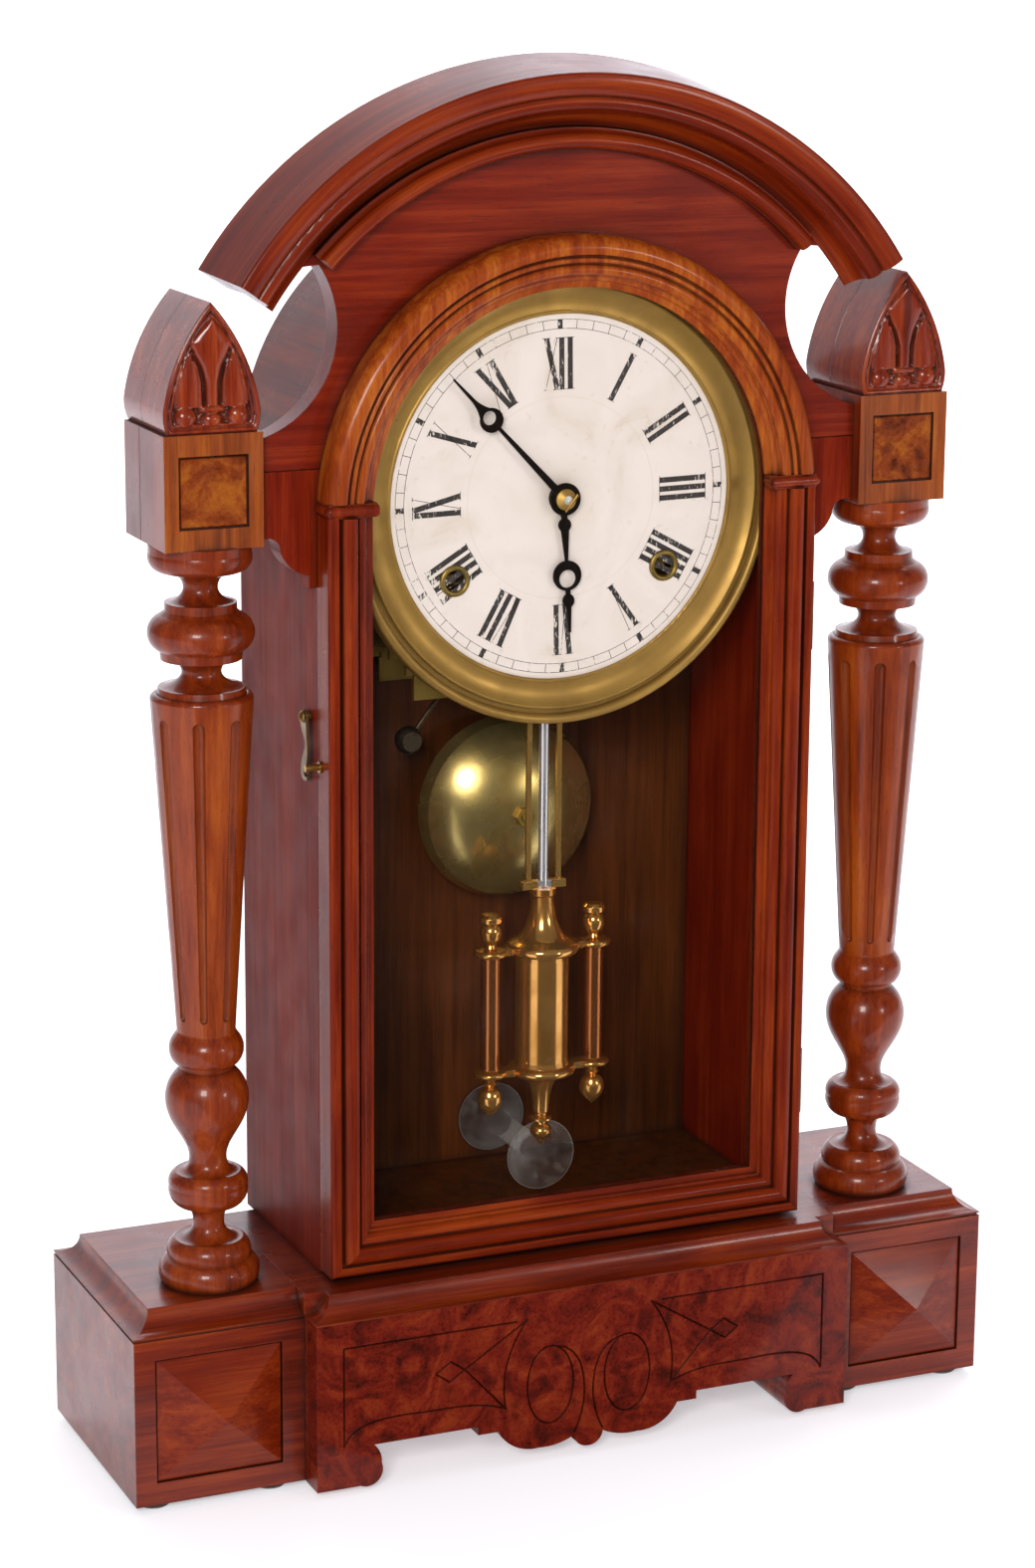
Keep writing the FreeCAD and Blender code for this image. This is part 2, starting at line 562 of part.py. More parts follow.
def dial_foot_spots():
    """Where the dial's four feet stand."""
    return [spot(70.0, a) for a in (45, 135, 225, 315)]


def dial_feet():
    """The dial's feet, each with a tail through the front plate and a pin behind it."""
    shapes = []
    for x, z in dial_foot_spots():
        post = pin(x, z, 2.6, (DIAL_BACK, FRONT_PLATE[0]))
        tail = pin(x, z, FOOT_TAIL, (FRONT_PLATE[0] - 0.5, FRONT_PLATE[1] + 2.4))
        key = rod(0.5, (x - 3.0, FRONT_PLATE[1] + 0.6, z), (x + 3.0, FRONT_PLATE[1] + 0.6, z))
        shapes.append(fuse([post, tail, key]))
    return shapes


def latch_screw():
    """The round-headed screw the hook turns on."""
    y, z = LATCH
    shank = rod(0.9, (-86.0, y, z), (-92.8, y, z))
    head = Part.makeSphere(2.4, V(-91.6, y, z)).common(box((-95, -92.7), (y - 3, y + 3), (z - 3, z + 3)))
    washer = rod(1.8, (-90.0, y, z), (-91.0, y, z))
    slot = box((-96, -93.6), (y - 0.3, y + 0.3), (z - 3, z + 3))
    return fuse([shank, head.cut(slot), washer])


# Right-hand outlines of the blades, from the tip down to the boss.
MINUTE_BLADE = [(0.3, 59.3), (0.6, 50.5), (1.1, 46.2, 3.9, 40.7), (0.6, 35.8), (1.3, 3.0), (0, 1.0)]
HOUR_BLADE = [(0.3, 46.5), (0.9, 37.6), (2.1, 35.1, 0.8, 33.2), (0.8, 31.0), (0.5, 21.8),
              (1.4, 11.0), (2.3, 8.9, 1.0, 7.0), (1.4, 3.0), (0, 1.0)]
HAND_RISE = 1.1               # how far a ring's hole stands outward of its middle


def hand(blade, boss, ring, y, bore):
    """A hand pointing up from the origin: round boss, open ring and pointed blade."""
    ring_z, outer, inner = ring
    shape = fuse([plate(blade + reversed_half(blade), y), rod(boss, (0, y[0], 0), (0, y[1], 0)),
                  rod(outer, (0, y[0], ring_z), (0, y[1], ring_z))])
    hole_z = ring_z + HAND_RISE
    shape = shape.cut(rod(inner, (0, y[0] - 1, hole_z), (0, y[1] + 1, hole_z)))
    return shape.cut(rod(bore, (0, y[0] - 1, 0), (0, y[1] + 1, 0)))


def set_hand(shape, degrees):
    """Turn a hand clockwise from twelve and put it on the dial's centre."""
    shape.rotate(V(0, 0, 0), V(0, 1, 0), degrees)
    shape.translate(V(0, 0, DIAL_Z))
    return shape


MINUTES = 52.7                # minutes past five shown by the hands
WORK_ANGLE = 30.0             # direction of the minute wheel from the centre arbor
WORK_REACH = 16.8             # its distance from the centre arbor


def minute_hand():
    """The minute hand on the cannon, which carries the cannon pinion and the collet."""
    blade = set_hand(hand(MINUTE_BLADE, 5.6, (39.4, 4.2, 2.4), (-24.5, -23.8), 1.6), MINUTES * 6.0)
    cannon = pin(0, DIAL_Z, 1.7, (-26.2, 3.2))
    collet = spun([(0, -26.9), (1.6, -26.8), (3.6, -25.2), (3.6, -24.4), (0, -24.4)], 0, DIAL_Z)
    gear = toothed(12, 0.7, (0.4, 3.2), (0, 0), WORK_ANGLE)
    shape = fuse([blade, cannon, collet, gear])
    return shape.cut(pin(0, DIAL_Z, 1.1 + RUNNING, (-25.0, 4.0)))


def hour_hand():
    """The hour hand on its pipe with the hour wheel."""
    blade = set_hand(hand(HOUR_BLADE, 5.0, (26.7, 5.2, 3.1), (-22.9, -22.2), 2.0), 150.0 + MINUTES / 2)
    pipe = pin(0, DIAL_Z, 2.8, (-23.1, -0.9))
    gear = toothed(48, 0.56, (-2.0, -0.9), (0, 0), WORK_ANGLE)
    return fuse([blade, pipe, gear]).cut(pin(0, DIAL_Z, 1.7 + RUNNING, (-24, 0)))


def minute_wheel():
    """The minute wheel and its pinion, between the cannon and the hour wheel."""
    at = polar(WORK_REACH, WORK_ANGLE)
    wheel = toothed(36, 0.7, (0.9, 2.2), at, WORK_ANGLE + 180.0 + 5.0)
    pinion = toothed(12, 0.56, (-2.4, 1.0), at, WORK_ANGLE + 180.0 + 15.0)
    return fuse([wheel, pinion]).cut(pin(at[0], DIAL_Z + at[1], 1.2 + RUNNING, (-5, 5)))


# ---- movement -----------------------------------------------------------------------------
# Arbor positions are given as X and height from the dial's centre.
CENTRE = (0.0, 0.0)
TIME_MAIN = (ARBOR_X, -ARBOR_DROP)
STRIKE_MAIN = (-ARBOR_X, -ARBOR_DROP)
ESCAPE = (0.0, -44.0)


def meeting(a, reach_a, b, reach_b, side):
    """The point at two given distances from two others, on one side of the line between them."""
    dx, dz = b[0] - a[0], b[1] - a[1]
    span = math.hypot(dx, dz)
    along = (reach_a ** 2 - reach_b ** 2 + span ** 2) / (2 * span)
    off = side * math.sqrt(reach_a ** 2 - along ** 2)
    return (a[0] + (along * dx - off * dz) / span, a[1] + (along * dz + off * dx) / span)


TIME_SECOND = meeting(CENTRE, 24.3, TIME_MAIN, 33.6, 1)
THIRD = meeting(CENTRE, 23.76, ESCAPE, 21.6, 1)
STRIKE_SECOND = polar(42.0, 75.0, *STRIKE_MAIN)
WARNING = polar(24.5, 50.0, *STRIKE_SECOND)
FLY = polar(16.0, 20.0, *WARNING)
HAMMER = (-14.0, PIVOT_Z - DIAL_Z - 37.0)
ARBORS = {TIME_SECOND: 1.0, THIRD: 0.8, STRIKE_SECOND: 1.0, WARNING: 0.8, FLY: 0.8, HAMMER: 1.0,
          CENTRE: 1.1, ESCAPE: 0.8, TIME_MAIN: 2.4, STRIKE_MAIN: 2.4}


def bearing(a, b):
    """The direction from one arbor to another, in degrees."""
    return math.degrees(math.atan2(b[1] - a[1], b[0] - a[0]))


def toothed(teeth, module, y, at, phase, share=TOOTH):
    """A toothed disc: straight-flanked teeth, one of them centred on the phase angle."""
    pitch_r, pitch = module * teeth / 2.0, 360.0 / teeth
    root, tip = pitch_r - 1.25 * module, pitch_r + 0.8 * module
    points = []
    for i in range(teeth):
        middle = phase + i * pitch
        for radius, width in ((root, 1.45), (tip, 0.5), (tip, -0.5), (root, -1.45)):
            points.append(polar(radius, middle - width * share * pitch / 2, at[0], DIAL_Z + at[1]))
    return plate(points, y)


def wheel_blank(teeth, module, y, at, phase, hub):
    """A toothed wheel crossed out to four arms."""
    shape = toothed(teeth, module, y, at, phase)
    rim = module * teeth / 2.0 - 1.25 * module - 2.0
    if rim - hub > 4.0:
        shape = shape.cut(between_arms(at, hub, rim, 3.0, y))
    return shape


def between_arms(at, inner, outer, arm, y):
    """The waste between a wheel's hub and rim, leaving four arms of the given width."""
    x, z, half = at[0], DIAL_Z + at[1], arm / 2
    waste = ring_at(at, inner, outer, (y[0] - 1, y[1] + 1))
    waste = waste.cut(box((x - outer, x + outer), (y[0] - 2, y[1] + 2), (z - half, z + half)))
    return waste.cut(box((x - half, x + half), (y[0] - 2, y[1] + 2), (z - outer, z + outer)))


def ring_at(at, inner, outer, y):
    """A flat ring round an arbor."""
    x, z = at[0], DIAL_Z + at[1]
    return pin(x, z, outer, y).cut(pin(x, z, inner, (y[0] - 1, y[1] + 1)))


def arbor(at, radius, pivot):
    """A steel arbor with a thinner pivot at both ends."""
    x, z = at[0], DIAL_Z + at[1]
    ends = (FRONT_PLATE[0] - OVERHANG, BACK_PLATE[1] + OVERHANG)
    return fuse([pin(x, z, radius, BETWEEN), pin(x, z, pivot, ends)])


def great_wheel(at, module, phase):
    """A great wheel with ratchet, click and winding arbor, and its mainspring as a second solid."""
    x, z = at[0], DIAL_Z + at[1]
    wheel = wheel_blank(72, module, (30.0, 31.6), at, phase, 12.0)
    shaft = pin(x, z, 3.2, BETWEEN)
    pivots = pin(x, z, 2.4, (-2.0, BACK_PLATE[1] + OVERHANG))
    square = box((x - 1.7, x + 1.7), (-17.5, -1.5), (z - 1.7, z + 1.7))
    ratchet = toothed(24, 0.62, (28.2, 29.6), at, 0.0, 0.5)
    click = box((x + 8.3, x + 11.3), (28.2, 30.2), (z - 4.0, z + 4.0))
    return [fuse([wheel, shaft, pivots, square, ratchet, click,
                  pin(x, z, 3.9, (29.4, 30.2))]), mainspring(x, z)]


SPRING_Y = (13.0, 25.0)
SPRING_TURNS, SPRING_STEPS = 7, 16
SPRING_START, SPRING_LEAD, SPRING_STRIP = 3.8, 2.0, 0.6


def mainspring(x, z):
    """A flat spiral spring round its arbor, one turn every two millimetres."""
    inner, outer = [], []
    for i in range(SPRING_TURNS * SPRING_STEPS + 1):
        angle, radius = 360.0 * i / SPRING_STEPS, SPRING_START + SPRING_LEAD * i / SPRING_STEPS
        inner.append(V(*spring_point(x, z, radius, angle)))
        outer.append(V(*spring_point(x, z, radius + SPRING_STRIP, angle)))
    curves = []
    for points in (inner, outer):
        curve = Part.BSplineCurve()
        curve.interpolate(points)
        curves.append(curve.toShape())
    start, end = Part.makeLine(inner[0], outer[0]), Part.makeLine(inner[-1], outer[-1])
    strip = Part.Face(Part.Wire([curves[0], end, curves[1], start]))
    return strip.extrude(V(0, SPRING_Y[1] - SPRING_Y[0], 0))


def spring_point(x, z, radius, degrees):
    """A point of the mainspring's spiral."""
    px, pz = polar(radius, degrees, x, z)
    return px, SPRING_Y[0], pz


def time_second_wheel():
    """The time train's second wheel."""
    pinion = toothed(12, 0.8, (28.6, 33.0), TIME_SECOND, bearing(TIME_MAIN, TIME_SECOND) + 180 + 15)
    wheel = wheel_blank(36, 0.9, (26.4, 27.6), TIME_SECOND, bearing(TIME_SECOND, CENTRE), 5.0)
    return fuse([pinion, wheel, arbor(TIME_SECOND, 1.6, 1.0)])


def centre_wheel():
    """The centre wheel on the arbor that drives the hands."""
    pinion = toothed(18, 0.9, (24.6, 29.0), CENTRE, bearing(TIME_SECOND, CENTRE) + 180 + 10)
    wheel = wheel_blank(80, 0.54, (20.0, 21.2), CENTRE, bearing(CENTRE, THIRD), 6.0)
    shaft = pin(0, DIAL_Z, 1.1, (-24.2, BACK_PLATE[1] + OVERHANG))
    return fuse([pinion, wheel, pin(0, DIAL_Z, 1.8, BETWEEN), shaft])


def third_wheel():
    """The third wheel of the time train."""
    pinion = toothed(8, 0.54, (18.6, 22.6), THIRD, bearing(CENTRE, THIRD) + 180 + 22.5, 0.36)
    wheel = wheel_blank(100, 0.4, (9.0, 10.0), THIRD, bearing(THIRD, ESCAPE), 4.0)
    return fuse([pinion, wheel, arbor(THIRD, 1.1, 0.8)])


def escape_wheel():
    """The escape wheel in front of the plates, with its pinion between them."""
    x, z = ESCAPE[0], DIAL_Z + ESCAPE[1]
    points = []
    for i in range(36):
        points.append(polar(11.4, i * 10.0, x, z))
        points.append(polar(14.0, i * 10.0 + 1.0, x, z))
        points.append(polar(14.0, i * 10.0 + 1.8, x, z))
        points.append(polar(11.4, i * 10.0 + 6.0, x, z))
    wheel = plate(points, VERGE_Y).cut(between_arms(ESCAPE, 4.0, 9.4, 2.0, VERGE_Y))
    pinion = toothed(8, 0.4, (7.4, 11.6), ESCAPE, bearing(THIRD, ESCAPE) + 180 + 22.5, 0.36)
    pivot = pin(x, z, 0.8, (-0.4, BACK_PLATE[1] + OVERHANG))
    return fuse([wheel, pinion, pin(x, z, 1.1, BETWEEN), pivot])


def verge():
    """The recoil verge with its crutch wire and the fork round the pendulum's rod."""
    z = PIVOT_Z
    steps = [(0, z + 2.6), (2.4, z + 1.6, 3.0, z), (8.4, z - 3.4), (11.0, z - 8.2), (9.8, z - 7.8),
             (6.6, z - 4.2), (0, z - 2.8), (-6.6, z - 4.2), (-9.8, z - 7.8), (-11.0, z - 8.2),
             (-8.4, z - 3.4), (-3.0, z), (-2.4, z + 1.6, 0, z + 2.6)]
    anchor = plate(steps, VERGE_Y)
    sleeve = pin(0, z, 2.2, (-2.6, 1.6))
    wire = rod(0.6, (0, -1.6, z - 1.0), (0, -3.4, z - 22.0))
    fork = [rod(0.6, (side * 1.7, -3.0, z - 22.0), (side * 1.7, -11.0, z - 22.0)) for side in (-1, 1)]
    bridge = rod(0.6, (-1.7, -3.4, z - 22.0), (1.7, -3.4, z - 22.0))
    return fuse([anchor, sleeve, wire, bridge] + fork).cut(pin(0, z, 1.0 + RUNNING, (-5, 5)))


def suspension_post():
    """The split post that holds the suspension spring, and the stud the verge turns on."""
    z = PIVOT_Z
    arm = box((-2.2, 2.2), (-10.4, FRONT_PLATE[0]), (z + 3.4, z + 7.4))
    jaw = box((-2.2, 2.2), (-10.4, -6.0), (z + 0.4, z + 4.0))
    stud = pin(0, z, 1.0, (-2.2, FRONT_PLATE[1]))
    return [fuse([arm, jaw]), stud]


def strike_second_wheel():
    """The strike's pin wheel, which lifts the hammer."""
    at = STRIKE_SECOND
    pinion = toothed(12, 1.0, (28.4, 33.0), at, bearing(STRIKE_MAIN, at) + 180 + 15)
    wheel = wheel_blank(60, 0.7, (24.8, 26.0), at, bearing(at, WARNING), 6.0)
    pins = [pin(x, z, 0.6, (23.2, 25.0)) for x, z in
            [polar(18.4, 30 + 45 * i, at[0], DIAL_Z + at[1]) for i in range(8)]]
    return fuse([pinion, wheel, arbor(at, 1.6, 1.0)] + pins)


def warning_wheel():
    """The warning wheel of the strike."""
    pinion = toothed(10, 0.7, (23.0, 27.6), WARNING, bearing(STRIKE_SECOND, WARNING) + 180 + 18, 0.36)
    wheel = wheel_blank(56, 0.5, (15.0, 16.0), WARNING, bearing(WARNING, FLY), 4.0)
    return fuse([pinion, wheel, arbor(WARNING, 1.2, 0.8)])


def fly():
    """The strike's fan: two vanes on the last arbor."""
    x, z = FLY[0], DIAL_Z + FLY[1]
    pinion = toothed(8, 0.5, (13.4, 17.4), FLY, bearing(WARNING, FLY) + 180 + 22.5, 0.36)
    vanes = box((x - 11.5, x + 11.5), (19.0, 33.0), (z - 0.3, z + 0.3))
    hub = pin(x, z, 1.8, (18.0, 34.0))
    return fuse([pinion, vanes, hub, arbor(FLY, 1.1, 0.8)])


BALL = (-37.0, 26.0, 245.5)   # centre of the hammer's head


def hammer():
    """The bell hammer: arbor, bent wire and round head."""
    x, z = HAMMER[0], DIAL_Z + HAMMER[1]
    hub = pin(x, z, 2.4, (24.0, 28.0))
    wire = rod(0.8, (x, BALL[1], z), BALL)
    tail = rod(0.8, (x, 26.0, z), (x - 6.0, 26.0, z + 9.0))
    head = Part.makeSphere(5.0, V(*BALL)).common(box((-60, 0), (22.4, 29.6), (230, 260)))
    return fuse([hub, wire, tail, head, arbor(HAMMER, 1.4, 1.0)])


def movement_plate(y, front):
    """One brass plate with its bearing holes."""
    steps = [(-44, -72), (33, -72), (53, -52), (53, 56), (-53, 56), (-53, -57), (-47, -57),
             (-47, -63), (-44, -63)]
    shape = plate([(a, DIAL_Z + b) for a, b in steps], y)
    holes = []
    for at, radius in ARBORS.items():
        holes.append(pin(at[0], DIAL_Z + at[1], radius + RUNNING, (y[0] - 1, y[1] + 1)))
    if front:
        holes.append(pin(0, PIVOT_Z, 1.0, (y[0] - 1, y[1] + 1)))
        holes += [pin(x, z, FOOT_TAIL + RUNNING, (y[0] - 1, y[1] + 1)) for x, z in dial_foot_spots()]
    for x, z in pillar_spots():
        holes.append(pin(x, z, 1.4, (y[0] - 1, y[1] + 1)))
    return shape.cut(holes[0].multiFuse(holes[1:]))


def pillar_spots():
    """Where the movement's four pillars stand."""
    return [(x, DIAL_Z + dz) for x, dz in ((-46.0, 44.0), (46.0, 44.0), (-26.0, -68.0), (36.0, -63.0))]


def front_plate():
    """The front plate with the stud of the minute wheel."""
    at = polar(WORK_REACH, WORK_ANGLE)
    stud = pin(at[0], DIAL_Z + at[1], 1.2, (-2.8, FRONT_PLATE[0] + 0.5))
    return fuse([movement_plate(FRONT_PLATE, True), stud])


def pillars():
    """The four pillars: turned bodies, nuts in front and feet screwed to the back board."""
    shapes = []
    for x, z in pillar_spots():
        body = spun([(0, 5.0), (3.4, 5.0), (3.4, 7.0), (2.4, 8.2), (2.4, 33.3), (3.4, 34.5),
                     (3.4, 36.5), (0, 36.5)], x, z)
        thread = pin(x, z, 1.4, (1.0, BACK_FACE))
        nut = hexagon(x, z, 3.4, (1.6, FRONT_PLATE[0]))
        foot = pin(x, z, 4.0, (BACK_PLATE[1], BACK_FACE))
        shapes.append(fuse([body, thread, nut, foot]))
    return shapes


def hexagon(x, z, radius, y):
    """A six-sided nut on an axis along Y."""
    return plate([polar(radius, 60 * i, x, z) for i in range(6)], y)


BELL = (3.0, 216.5)
BELL_RIM = 33.5               # radius of its mouth


def bell():
    """The brass bell, a thin dome that opens to the back."""
    mouth, crown = 33.0, 15.5
    outside = [(1.8, crown), [(13.0, crown + 1.5), (25.0, crown + 6.8), (BELL_RIM - 1.8, crown + 12.4)],
               (BELL_RIM, mouth)]
    inside = [(BELL_RIM - 1.2, mouth), [(BELL_RIM - 3.0, crown + 13.0), (24.2, crown + 8.0),
              (13.0, crown + 2.9), (1.8, crown + 1.3)]]
    section = outside + inside
    return spun(section, *BELL)


def bell_post():
    """The post from the back board through the bell, with a washer and nut."""
    x, z = BELL
    flange = pin(x, z, 7.0, (BACK_FACE - 2.0, BACK_FACE))
    post = pin(x, z, 3.0, (16.9, BACK_FACE))
    thread = pin(x, z, 1.7, (12.4, 20.0))
    return fuse([flange, post, thread, hexagon(x, z, 3.6, (13.2, 15.4))])


# ---- pendulum -----------------------------------------------------------------------------
def pendulum_rods():
    """The suspension spring, its wire and the frame of brass bars round a steel bar."""
    y, z = PENDULUM_Y, PIVOT_Z
    spring = box((-1.8, 1.8), (y - 0.15, y + 0.15), (z - 12.0, z))
    clip = box((-2.4, 2.4), (y - 1.0, y + 1.0), (z - 15.0, z - 11.5))
    wire = rod(0.8, (0, y, z - 27.5), (0, y, z - 14.5))
    bars = [box((side * 5.7 - 0.9, side * 5.7 + 0.9), (y - 0.7, y + 0.7), (196.6, 287.0))
            for side in (-1, 1)]
    steel = rod(1.7, (0, y, 197.0), (0, y, 286.0))
    top = box((-6.6, 6.6), (y - 1.2, y + 1.2), (283.4, 287.0))
    low = box((-8.2, 8.2), (y - 1.6, y + 1.6), (196.6, 199.4))
    return fuse([spring, clip, wire, steel, top, low] + bars)


BOB = [(0, 101.4), (1.2, 102.6, 1.6, 104.0), (3.6, 105.6, 3.2, 108.6), (2.0, 109.8), (2.0, 110.6),
       (4.0, 111.2), (4.0, 112.0), (2.2, 112.8), (2.2, 113.6), (2.8, 114.2), [(3.6, 121.0), (5.6, 127.0)],
       (6.6, 128.8), (11.4, 129.0), (12.2, 130.4, 11.4, 131.8), (9.8, 132.2), (9.5, 134.0),
       (9.5, 171.4), (9.8, 173.2), (12.2, 173.6), (13.2, 175.4, 12.2, 177.2), (10.6, 178.0),
       [(7.4, 180.6), (5.0, 186.0), (3.9, 193.6)], (4.6, 194.4), (4.6, 196.6), (0, 196.6)]
SIDE = [(0, 114.4), (1.2, 115.6), (4.2, 119.6, 3.4, 124.6), (1.8, 125.6), (2.6, 126.8),
        (1.8, 127.8), (2.4, 129.2), (5.4, 129.6), (6.1, 130.6, 5.4, 131.6), (3.5, 132.2),
        (3.5, 173.4), (5.4, 173.8), (6.2, 175.0, 5.4, 176.2), (2.4, 176.8), (2.0, 178.0),
        [(3.4, 180.0), (3.8, 183.0), (2.4, 185.6)], (4.0, 186.2), (4.0, 188.0), (3.0, 189.0), (0, 189.4)]


def pendulum_bob():
    """The bob: a brass cylinder between flanges whose ears carry a column on each side."""
    x, y = 19.8, PENDULUM_Y
    pieces = [turned(BOB, 0, y)]
    for side in (-1, 1):
        pieces.append(turned(SIDE, side * x, y))
        for low, high in ((129.2, 131.6), (173.8, 176.2)):
            reach = sorted((side * 9.0, side * 16.5))
            pieces.append(box(reach, (y - 3.0, y + 3.0), (low, high)))
    return fuse(pieces)


def clear_cup():
    """The clear plastic double suction cup between the back board and the pendulum's tip."""
    section = [(0, -0.6), (5.0, -0.2, 12.6, -2.0), (12.9, -1.2), (8.0, 3.6, 4.6, 9.0), (4.2, 34.0),
               (8.0, 39.6, 13.2, BACK_FACE), (0, BACK_FACE)]
    return spun(section, 3.2, 95.0)


def export(name, shapes):
    """Write one node, of one or more solids."""
    shapes = shapes if isinstance(shapes, list) else [shapes]
    solids = [solid for shape in shapes for solid in shape.Solids]
    (solids[0] if len(solids) == 1 else Part.makeCompound(solids)).exportStep(f"parts/{name}.step")


def main():
    """Build and write every node."""
    os.makedirs("parts", exist_ok=True)
    for name, make in {"base_block": base_block, "case_side": case_side, "stile": stile,
                       "corner_block": corner_block, "finial": finial, "column": column}.items():
        shape = make()
        export(name + "_right", shape)
        export(name + "_left", mirrored(shape))
    for name, make in {"pyramid_panels": pyramid, "foot_scrolls": foot_scroll,
                       "block_panels": block_panel, "door_collars": door_collar}.items():
        shape = make()
        export(name, [shape, mirrored(shape)])
    for make in (base_center, apron, foot_pads, case_top, case_back, case_floor, pediment_board, cornice,
                 frieze_bead, door_frame, door_arch, door_glass, glass_strip, latch_pin,
                 latch_hook, latch_screw, dial_plate, dial_bezel, winding_eyelets, dial_feet,
                 minute_hand, hour_hand, minute_wheel, time_second_wheel, centre_wheel, third_wheel,
                 escape_wheel, verge, suspension_post, strike_second_wheel, warning_wheel, fly, hammer,
                 pillars, bell, bell_post, pendulum_rods, pendulum_bob, clear_cup):
        export(make.__name__, make())
    export("hinge_door_leaves", hinge_leaves(True) + hinge_pins())
    export("hinge_case_leaves", hinge_leaves(False))
    export("movement_plates", [front_plate(), movement_plate(BACK_PLATE, False)])
    export("time_great_wheel", great_wheel(TIME_MAIN, 0.8, bearing(TIME_MAIN, TIME_SECOND)))
    export("strike_great_wheel", great_wheel(STRIKE_MAIN, 1.0, bearing(STRIKE_MAIN, STRIKE_SECOND)))


main()
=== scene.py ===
import math

import bmesh
import bpy
from mathutils import Matrix, Vector


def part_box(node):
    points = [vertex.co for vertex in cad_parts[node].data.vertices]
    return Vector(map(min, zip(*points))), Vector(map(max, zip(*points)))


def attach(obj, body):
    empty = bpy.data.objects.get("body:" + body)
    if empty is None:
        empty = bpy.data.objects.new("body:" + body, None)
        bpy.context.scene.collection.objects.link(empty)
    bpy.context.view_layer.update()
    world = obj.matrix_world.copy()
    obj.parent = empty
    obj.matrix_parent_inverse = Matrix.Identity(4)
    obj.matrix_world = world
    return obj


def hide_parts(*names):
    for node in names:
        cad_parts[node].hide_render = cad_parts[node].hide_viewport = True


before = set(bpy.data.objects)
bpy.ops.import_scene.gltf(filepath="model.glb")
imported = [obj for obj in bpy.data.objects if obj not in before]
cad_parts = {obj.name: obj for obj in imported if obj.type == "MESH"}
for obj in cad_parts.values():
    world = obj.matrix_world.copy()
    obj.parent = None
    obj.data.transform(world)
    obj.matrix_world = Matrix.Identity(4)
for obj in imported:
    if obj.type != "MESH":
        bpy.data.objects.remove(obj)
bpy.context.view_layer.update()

# An eight-day striking mantel clock of polished walnut: materials for the CAD nodes, the dial's
# print, the clear cup, the carved finials, the hands' pin and the stage.  Lengths are in metres,
# and a length in millimetres is multiplied by MM where it is used.

MM = 0.001
CAMERA_AT = (-0.5324, -1.2044, 0.5616)
CAMERA_TURN = (1.32556, -0.00693, -0.41006)
CAMERA_LENS = 88.9

DIAL_LOW, DIAL_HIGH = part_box("dial_plate")
DIAL_X, DIAL_Z = (DIAL_LOW.x + DIAL_HIGH.x) / 2, (DIAL_LOW.z + DIAL_HIGH.z) / 2
DIAL_FACE = DIAL_LOW.y
DOOR_LOW, DOOR_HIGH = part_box("door_frame")
BLOCK_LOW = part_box("corner_block_left")[0]    # a column ends under its corner block
HANDS_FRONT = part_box("minute_hand")[0].y
BOB_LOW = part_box("pendulum_bob")[0]


# ---- material building --------------------------------------------------------------------
def rgb(code):
    """A colour from its usual six-digit form, as the linear values shaders work in."""
    parts = [int(code[i:i + 2], 16) / 255 for i in (0, 2, 4)]
    return tuple(c / 12.92 if c < 0.04045 else ((c + 0.055) / 1.055) ** 2.4 for c in parts) + (1.0,)


